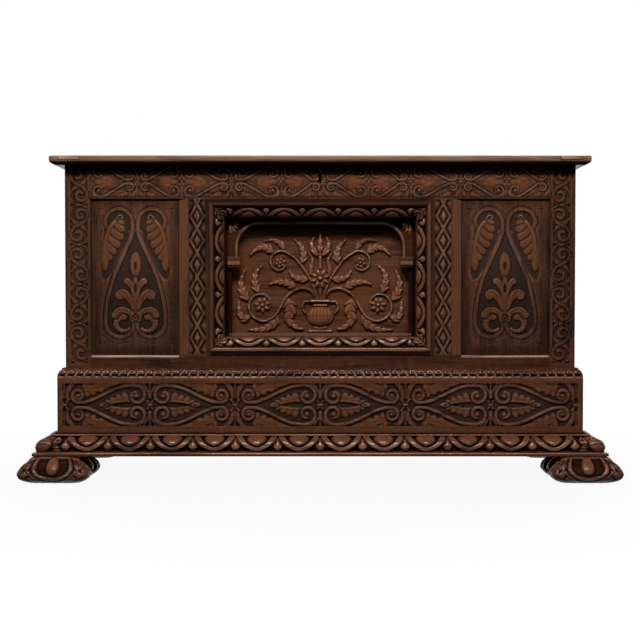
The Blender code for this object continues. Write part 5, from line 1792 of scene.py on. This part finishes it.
@dataclass
class Plinth:
    """Plinth boards, their rope and lunette mouldings, and the cushion feet."""

    hearts: int = 6
    heart_run: float = 1400.0
    heart_band: Point = (19.0, 136.0)
    lunettes: int = 12
    side_lunettes: int = 4
    lunette_corner: float = 71.0
    rope_pitch: float = 24.3
    board: float = 19.3
    foot_side: float = 183.0
    foot_square: float = 10.0  # how square the feet are seen from above
    front: float = field(init=False)
    runs: dict[str, tuple[Vector, Vector, Vector]] = field(init=False)

    def __post_init__(self) -> None:
        """Read the plinth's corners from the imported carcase: each side's start, end and outward way."""
        low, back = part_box("front_left_stile")[0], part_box("rear_left_stile")[1].y
        self.front = low.y
        left, right = Vector((low.x, low.y, 0)), Vector((-low.x, low.y, 0))
        self.runs = {
            "front": (left, right, Vector((0, -1, 0))),
            "left": (left, Vector((low.x, back, 0)), Vector((-1, 0, 0))),
            "right": (right, Vector((-low.x, back, 0)), Vector((1, 0, 0))),
        }

    def build(self) -> None:
        """Make and dress the plinth."""
        self.front_board()
        for word in self.runs:
            self.rope(word)
            self.lunette_run(word)
        for word in ("front_left", "front_right", "rear_left", "rear_right"):
            self.foot(word)

    def front_board(self) -> None:
        """Carve the plinth's front board with six hearts between plain bands."""
        node = "base_front_board"
        low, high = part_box(node)
        face = FlatFace((low.x, high.x), (low.z, high.z), low.y, 1.55, 4.6)
        cut = face.relief
        width, height = cut.u[-1], cut.v[-1]
        bottom, top = self.heart_band
        margin = (width - self.heart_run) / 2
        pitch = self.heart_run / self.hearts
        joins = [Pen(cut, (margin + k * pitch, (bottom + top) / 2)) for k in range(self.hearts + 1)]
        for k in range(self.hearts):
            neck = joins[k + 1].flipped(-1, 1) if k % 2 else joins[k]
            heart(neck, pitch, top - bottom, cut.face)
        for k, join in enumerate(joins):
            tie(join, top - bottom, cut.face, 8.0 if k % 2 else 13.0)
        for v in ((-1, bottom), (top, height + 1)):
            cut.level((-1, width + 1), v)
        for u in ((-1, margin - 4), (width - margin + 4, width + 1)):
            cut.level(u, (-1, height + 1))
        for v in (bottom - 4, top + 4):
            cut.cut(np.array([(margin, v), (width - margin, v)]), 2.6, 1.5)
        cut.finish(81, worn_and_lit=0.6, sunk=0.26, matting=0.35, dust=0.7)
        cut.warm[:, (cut.v < bottom) | (cut.v > top)] = 0.6
        cut.recess[:, cut.v < bottom] += 0.12
        piece = face.solid(node + ".carved", self.front - 0.3 * MM)
        self.mitre(piece, low.x, high.x)
        dress(piece, CARVED, [node])

    def mitre(self, piece: bpy.types.Object, left: float, right: float) -> None:
        """Draw in a board's back edge so that its ends are mitred.

        Args:
            piece: the board.
            left: where its left end is.
            right: where its right end is.
        """
        back = self.front - 0.3 * MM
        for vert in piece.data.vertices:
            if abs(vert.co.y - back) < TINY:
                if abs(vert.co.x - left) < 10 * TINY:
                    vert.co.x += self.board * MM
                elif abs(vert.co.x - right) < 10 * TINY:
                    vert.co.x -= self.board * MM

    def length_of(self, node: str, **how: Any) -> Moulding:
        """Lay out one length of a moulding.

        Args:
            node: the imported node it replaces, whose last word is its side.
            how: its section and its carving.

        Returns:
            The moulding, not yet carved.
        """
        word = node.split("_")[-1]
        start, end, out = self.runs[word]
        lift = Vector((0, 0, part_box(node)[0].z))
        how["mitres"] = (1, 1) if word == "front" else (1, 0)
        return Moulding(start=start + lift, end=end + lift, out=out, up=Vector((0, 0, 1)), **how)

    @staticmethod
    def dress_length(run: Moulding, node: str) -> None:
        """Make and dress a carved length of moulding."""
        grain = Grain.LONG if node.endswith("front") else Grain.DEEP
        dress(run.solid(node + ".carved"), MOULDED.along(grain), [node])

    def rope(self, word: str) -> None:
        """Carve a length of the rope moulding, its strands leaning away from the middle.

        Args:
            word: front, left or right.
        """
        node = f"rope_moulding_{word}"
        profile = [(0.3, 0.0), *elliptic((8, 0.0), (11.3, 24.7), 0, 90), (8, 27.7), (0.3, 27.7)]
        run = self.length_of(node, profile=profile, carved=(1, 13), step=1.3, face=4.5)
        cut, tall = run.relief, run.height
        count = round(run.length / self.rope_pitch / 2) * 2
        pitch = run.length / count
        cut.level((-1, run.length + 1), (-1, tall + 1), 0.62 * cut.face)
        for k in range(count):
            lean = 1 if (k < count / 2 and word == "front") else -1
            pen = Pen(cut, ((k + 0.5) * pitch, 0)).flipped(lean, 1)
            size = (pitch, tall)
            pen.hollow(np.multiply([(-0.40, 0.30), (0.42, 0.30)], size), 0.24 * tall, -0.35 * cut.face)
            strand = [(-0.56, 0.12), (-0.5, 0.34), (-0.36, 0.58), (-0.10, 0.74), (0.16, 0.68), (0.18, 0.52)]
            strand = smooth(np.multiply([*strand, (0.02, 0.50)], size))
            pen.strap(strand, 4.6, cut.face, taper=(1.2, 0.8), shoulder=0.9, moat=0.7)
            pen.cut(np.multiply([(-0.3, 0.96), (0.3, 0.86)], size), 3.4, 0.3 * cut.face)
        for v in (0.05, 0.97):
            cut.strap(np.array([(0, v * tall), (run.length, v * tall)]), 2.2, 0.9 * cut.face, shoulder=0.9)
        cut.finish(91, worn_and_lit=1.7, sunk=0.45)
        self.dress_length(run, node)

    def lunette_run(self, word: str) -> None:
        """Carve a length of the bold lunette moulding, leafy at its corners.

        Args:
            word: front, left or right.
        """
        node = f"lunette_moulding_{word}"
        profile = [
            (0.3, 0.0), (75.5, 0.0), (75.5, 7.2), (74.0, 8.8), (65, 8.8),
            *elliptic((31, 22), (37, 28.5), 0, 90), (36, 50.5), (36, 53.2), (34.8, 54.4), (0.3, 54.4),
        ]
        run = self.length_of(
            node, profile=profile, carved=(4, 17), step=1.7, face=11.0,
            corner=66, seen=(0.25, 1), ceiling=50.3, dull=0.7,
        )
        cut, tall = run.relief, run.height
        pens, count = [Pen(cut, (0, 0))], self.side_lunettes
        if word == "front":
            pens.append(Pen(cut, (run.length, 0)).flipped(-1, 1))
            count = self.lunettes
        pitch = (run.length - len(pens) * self.lunette_corner) / count
        lunette_row(cut, self.lunette_corner, pitch, count, 16, 27)
        for pen in pens:
            pen.bead([(-36, 0.5 * tall), (38, 0.5 * tall)], 1.3 * tall, cut.face, point=0.22, warm=0.2)
            for y in (0.46, 0.84):
                vein = smooth([(-2, y * tall), (16, y * tall + 1.5), (34, y * tall - 2)])
                pen.cut(vein, 3.4, 0.25 * cut.face)
            for foot, tip in (((36, 4), (62, 3)), ((36, 13), (60, 13)), ((37, 22), (54, 23))):
                vein = (2.6, 0.2 * cut.face)
                pen.lobe([foot, tip], 10, 0.9 * cut.face, vein, moat=0.8, point=0.4, warm=0.2)
            pen.strap(spiral((49, 0.72 * tall), (3.5, 9), (-170, 220)), 6.5, cut.face, shoulder=1.0, moat=1.2)
        cut.finish(101, worn_and_lit=1.2, sunk=0.7)
        self.dress_length(run, node)

    def foot(self, word: str) -> None:
        """Carve a cushion foot: a lunette on each face and leaves over its corners.

        Args:
            word: which foot.
        """
        node = f"{word}_foot"
        low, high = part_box(node)
        centre = (low + high) / 2
        section = smooth(
            [(59, 0), (74, 4), (88, 11), (96, 20), (97, 29), (92, 41), (82.5, 52), (71, 63), (60.5, 72)]
        )
        tall = np.concatenate([[0], np.cumsum(np.hypot(*np.diff(section, axis=0).T))])
        v = np.linspace(0, tall[-1], 66)
        half, z = np.interp(v, tall, section[:, 0]), np.interp(v, tall, section[:, 1])
        side = np.linspace(0, self.foot_side, 84)
        cut = Relief(side, v, 9.0, uncut=True)
        shown = Pen(cut, (self.foot_side / 2, 0))
        dip, top = np.interp((12, 72), z, v)
        cup = spiral((0, 0), (1, 1), (180, 360)) * (59, top - dip) + (0, top)
        shown.sink(np.vstack([cup, [(59, top + 9), (-59, top + 9)]]), 3.0)
        shown.bead([(0, top + 16), (0, np.interp(25, z, v))], 40, 1.1 * cut.face, point=0.45)
        shown.strap(cup, 13, 1e-3, moat=2.6)
        shown.strap(cup, 13, cut.face, shoulder=0.7, hollow=0.14 * cut.face)
        for pen in (Pen(cut, (0, 0)), Pen(cut, (self.foot_side, 0)).flipped(-1, 1)):
            for ends in (((29, 0.96), (25, 0.76)), ((21, 0.94), (17, 0.72)), ((12, 0.92), (8, 0.7)),
                         ((33, 0.7), (27, 0.54)), ((20, 0.64), (12, 0.5)), ((40, 0.46), (24, 0.36))):
                pen.hollow(np.multiply(ends, (1, top)), 6.0, 0.35 * cut.face)
            for vein, deep in (([(0, 0.66), (14, 0.6), (30, 0.5), (44, 0.34)], 0.3),
                               ([(0, 0.42), (16, 0.38), (34, 0.28)], 0.25)):
                pen.cut(smooth(np.multiply(vein, (1, top))), 4.0, deep * cut.face)
        cut.level((-1, self.foot_side + 1), (top - 4, top + 1), 0.8 * cut.face)
        cut.finish(111, worn_and_lit=1.0, sunk=0.6)
        # painted shade along the foot's bottom, next to the floor
        cut.recess = np.maximum(cut.recess, np.clip(1.2 - v / 16, 0, 0.9)[None, :])
        blend = np.minimum(cut.z[0], cut.z[-1])
        cut.z[0], cut.z[-1] = blend, blend
        slope = np.gradient(np.column_stack([half, z]), axis=0)
        lift = np.column_stack([slope[:, 1], -slope[:, 0]]) / np.hypot(*slope.T)[:, None]
        depth = cut.z[:-1] - cut.face
        height = np.maximum(z[None, :] + depth * lift[:, 1], 0)
        s = side[:-1] / (self.foot_side / 2) - 1
        edge = np.column_stack([s, -np.ones_like(s)])
        ring = edge / ((np.abs(edge) ** self.foot_square).sum(axis=1) ** (1 / self.foot_square))[:, None]
        way = np.sign(ring) * np.abs(ring) ** (self.foot_square - 1)
        way /= np.hypot(*way.T)[:, None]
        around = []
        for quarter in range(4):
            cos, sin = math.cos(quarter * math.pi / 2), math.sin(quarter * math.pi / 2)
            spin = np.array(((cos, sin), (-sin, cos)))
            out = (ring @ spin)[:, None, :] * half[None, :, None]
            out = out + (way @ spin)[:, None, :] * (depth * lift[:, 0])[..., None]
            around.append(np.concatenate([out, height[..., None]], axis=2))
        whole = np.concatenate([*around, around[0][:1]]) * MM + np.array((centre.x, centre.y, 0.0))
        marks = {key: np.concatenate([values[:-1]] * 4 + [values[:1]]) for key, values in cut.marks().items()}
        dress(grid_mesh(node + ".carved", whole, marks), MOULDED, [node])


@dataclass
class PlainJoinery:
    """Ends, back, floor and lid: plain boards with eased edges."""

    ease: float = 1.0 * MM
    overhang: Point = (36 * MM, 42 * MM)  # between these the painted shade under the lid fades
    shaded_reach: Point = (38 * MM, 6 * MM)  # points nearer the front edge and the underside than these get painted shade
    tongue_ends: Point = (0.7098, 0.6535)
    tongue_below: Point = (10.5 * MM, 3.0 * MM)  # from the lid's top to the tongue's underside and top

    def build(self) -> None:
        """Ease and dress every plain board."""
        upright = ["rear_left_stile", "rear_right_stile", "left_panel", "right_panel", "back_muntin"]
        long = ["back_top_rail", "back_bottom_rail", "back_left_panel", "back_right_panel",
                "floor_board_front", "floor_board_rear", "base_back_board"]
        deep = ["left_top_rail", "left_bottom_rail", "right_top_rail", "right_bottom_rail",
                "base_left_board", "base_right_board"]
        for names, grain in ((upright, Grain.UPRIGHT), (long, Grain.LONG), (deep, Grain.DEEP)):
            for node in names:
                dress(eased_copy(node, self.ease), PLAIN.along(grain), [node])
        for node, grain in (
            ("lid_rear_board", Grain.LONG), ("lid_front_board", Grain.LONG),
            ("lid_left_cleat", Grain.DEEP), ("lid_right_cleat", Grain.DEEP),
        ):
            piece = eased_copy(node, self.ease)
            if node != "lid_rear_board":
                self.paint_overhang_shade(piece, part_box(node)[0])
            dress(piece, LID.along(grain), [node], Body.LID)
        for side in Side:
            self.tongue(side)

    def paint_overhang_shade(self, piece: bpy.types.Object, low: Vector) -> None:
        """Paint shade on the underside of a lid board where it hangs over the front.

        Args:
            piece: the board.
            low: its lowest corner.
        """
        bm = bmesh.new()
        bm.from_mesh(piece.data)
        for reach in self.overhang:
            bmesh.ops.bisect_plane(
                bm, geom=[*bm.verts, *bm.edges, *bm.faces], plane_co=(0, low.y + reach, 0), plane_no=(0, 1, 0)
            )
        bm.to_mesh(piece.data)
        bm.free()
        at = np.array([vert.co for vert in piece.data.vertices])
        under_overhang = (at[:, 1] < low.y + self.shaded_reach[0]) & (at[:, 2] < low.z + self.shaded_reach[1])
        # painted shade under the overhang
        mark(piece.data, "recess", 0.85 * under_overhang)

    def tongue(self, side: Side) -> None:
        """Let the pale end of the lid's tongue show in a cleat's nose, in its dark groove.

        Args:
            side: which cleat.
        """
        node = f"lid_{side.word}_cleat"
        low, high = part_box(node)
        at = np.array([vert.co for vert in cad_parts[node].data.vertices])
        nose = at[at[:, 1] < low.y + 12 * MM]
        nose = nose[np.argsort(nose[:, 2])]
        foot, head = (high.z - below for below in self.tongue_below)
        for part, grow, lift, key in (
            ("groove", 1.7 * MM, 0.15 * MM, "recess"), ("tongue", 0, 0.45 * MM, "wear_and_highlight")
        ):
            levels = np.linspace(foot - grow, head + grow, 5)
            outline = [(np.interp(z, nose[:, 2], nose[:, 1]) - lift, z) for z in levels]
            outline += [(low.y + 20 * MM, levels[-1]), (low.y + 20 * MM, levels[0])]
            ends = (side.value * (self.tongue_ends[0] + grow), side.value * (self.tongue_ends[1] - grow))
            piece = bar(f"lid_{part}_{side.word}", outline, ends, 0.1 * MM)
            mark(piece.data, key, np.full(len(piece.data.vertices), 0.9))
            dress(piece, LID, body=Body.LID)


@dataclass
class Ironwork:
    """Hinges and lock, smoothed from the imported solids."""

    ease: float = 0.3 * MM

    def build(self) -> None:
        """Ease and dress every iron piece."""
        carcase = ["hinge_left_frame_leaf", "hinge_right_frame_leaf", "hinge_left_pin", "hinge_right_pin",
                   "lock_plate", "lock_case", "lock_spring", "key_post"]
        lid = ["hinge_left_lid_leaf", "hinge_right_lid_leaf", "link_plate"]
        for names, body in ((carcase, Body.CARCASE), (lid, Body.LID), (["lock_bolt"], Body.BOLT)):
            for node in names:
                dress(eased_copy(node, self.ease), IRON, [node], body)


@dataclass
class Studio:
    """Floor, lamps, white surroundings and the camera."""

    eye: tuple[float, float, float] = (-0.0006, -3.21805, 0.5096)
    pitch: float = 1.382
    lens: float = 61.43
    key_power: float = 172.0
    fill_power: float = 1.6
    back_power: float = 60.0
    sky: float = 0.01
    floor_half: float = 30.0
    sensor: float = 36.0

    def build(self) -> None:
        """Set the stage."""
        scene = bpy.context.scene
        scene.view_settings.view_transform = "Standard"
        self.camera(scene)
        self.floor()
        self.lamp("key light", (-0.2, -2.3, 2.85), (0, -0.2, 0.55), (2.4, 0.36), self.key_power)
        self.lamp("fill light", (1.9, -2.6, 1.2), (0, -0.2, 0.45), (1.6, 1.6), self.fill_power)
        self.lamp("back light", (0.6, 3.0, 2.2), (0, 0.2, 0.45), (2.0, 1.0), self.back_power)
        self.surroundings(scene)

    def camera(self, scene: bpy.types.Scene) -> None:
        """Stand the camera where the photograph was taken from.

        Args:
            scene: the scene it looks at.
        """
        data = bpy.data.cameras.new("camera")
        data.lens, data.sensor_width = self.lens, self.sensor
        eye = bpy.data.objects.new("camera", data)
        eye.location = self.eye
        eye.rotation_euler = (math.radians(90 - self.pitch), 0, 0)
        scene.collection.objects.link(eye)
        scene.camera = eye

    def lamp(
        self,
        name: str,
        place: tuple[float, float, float],
        aim: tuple[float, float, float],
        size: Point,
        power: float,
    ) -> None:
        """Hang a soft rectangular lamp.

        Args:
            name: its name.
            place: where it hangs.
            aim: the point it faces.
            size: its width and height.
            power: its power in watts.
        """
        data = bpy.data.lights.new(name, "AREA")
        data.shape, data.size, data.size_y, data.energy = "RECTANGLE", *size, power
        lamp = bpy.data.objects.new(name, data)
        lamp.location = place
        lamp.rotation_euler = (Vector(aim) - Vector(place)).to_track_quat("-Z", "Y").to_euler()
        bpy.context.scene.collection.objects.link(lamp)

    def floor(self) -> None:
        """Lay the pale floor, which keeps the coffer's shadow."""
        bm = bmesh.new()
        bmesh.ops.create_grid(bm, x_segments=1, y_segments=1, size=self.floor_half)
        floor = stand("floor", bm)
        made = bpy.data.materials.new("white studio paper")
        made.use_nodes = True
        tree = made.node_tree
        shader = tree.nodes["Principled BSDF"]
        fill(shader, {"Base Color": linear("#6a6968"), "Roughness": 0.9})
        glow = add_node(tree, "Emission", {"Color": linear("#ffffff"), "Strength": 1.08})
        place = add_node(tree, "TexCoord", output="Object")
        away = add_node(tree, "VectorMath", {0: place}, "Value", operation="LENGTH")
        shades = {"From Min": 0.8, "From Max": 2.2, "To Min": 0.86, "To Max": 1.0}
        white = add_node(tree, "MapRange", {"Value": away, **shades})
        part = add_node(tree, "Math", {0: self.seen(tree), 1: white}, operation="MULTIPLY")
        mixed = add_node(tree, "MixShader", {0: part, 1: shader.outputs["BSDF"], 2: glow})
        fill(tree.nodes["Material Output"], {"Surface": mixed})
        floor.data.materials.append(made)

    @staticmethod
    def seen(tree: bpy.types.NodeTree) -> bpy.types.NodeSocket:
        """Tell the rays that show a backdrop from those that light the coffer.

        Args:
            tree: the backdrop's node tree.

        Returns:
            1 to the eye, to gloss and through glass, and 0 to all other light.
        """
        rays = add_node(tree, "LightPath").node.outputs
        direct = add_node(
            tree, "Math", {0: rays["Is Camera Ray"], 1: rays["Is Glossy Ray"]}, operation="MAXIMUM"
        )
        return add_node(tree, "Math", {0: direct, 1: rays["Is Transmission Ray"]}, operation="MAXIMUM")

    def surroundings(self, scene: bpy.types.Scene) -> None:
        """White surroundings to the eye and to gloss, a soft level light to everything else.

        Args:
            scene: the scene they are round.
        """
        world = bpy.data.worlds.new("studio")
        scene.world = world
        world.use_nodes = True
        tree = world.node_tree
        strength = add_node(tree, "MapRange", {"Value": self.seen(tree), "To Min": self.sky, "To Max": 1.0})
        fill(tree.nodes["Background"], {"Color": linear("#ffffff"), "Strength": strength})


def main() -> None:
    """Build the coffer in order."""
    logging.basicConfig(level=logging.INFO, format="%(name)s: %(message)s")
    Studio().build()
    FrontFrame().build()
    PicturePiece().build()
    Plinth().build()
    PlainJoinery().build()
    Ironwork().build()


if __name__ == "__main__":
    main()
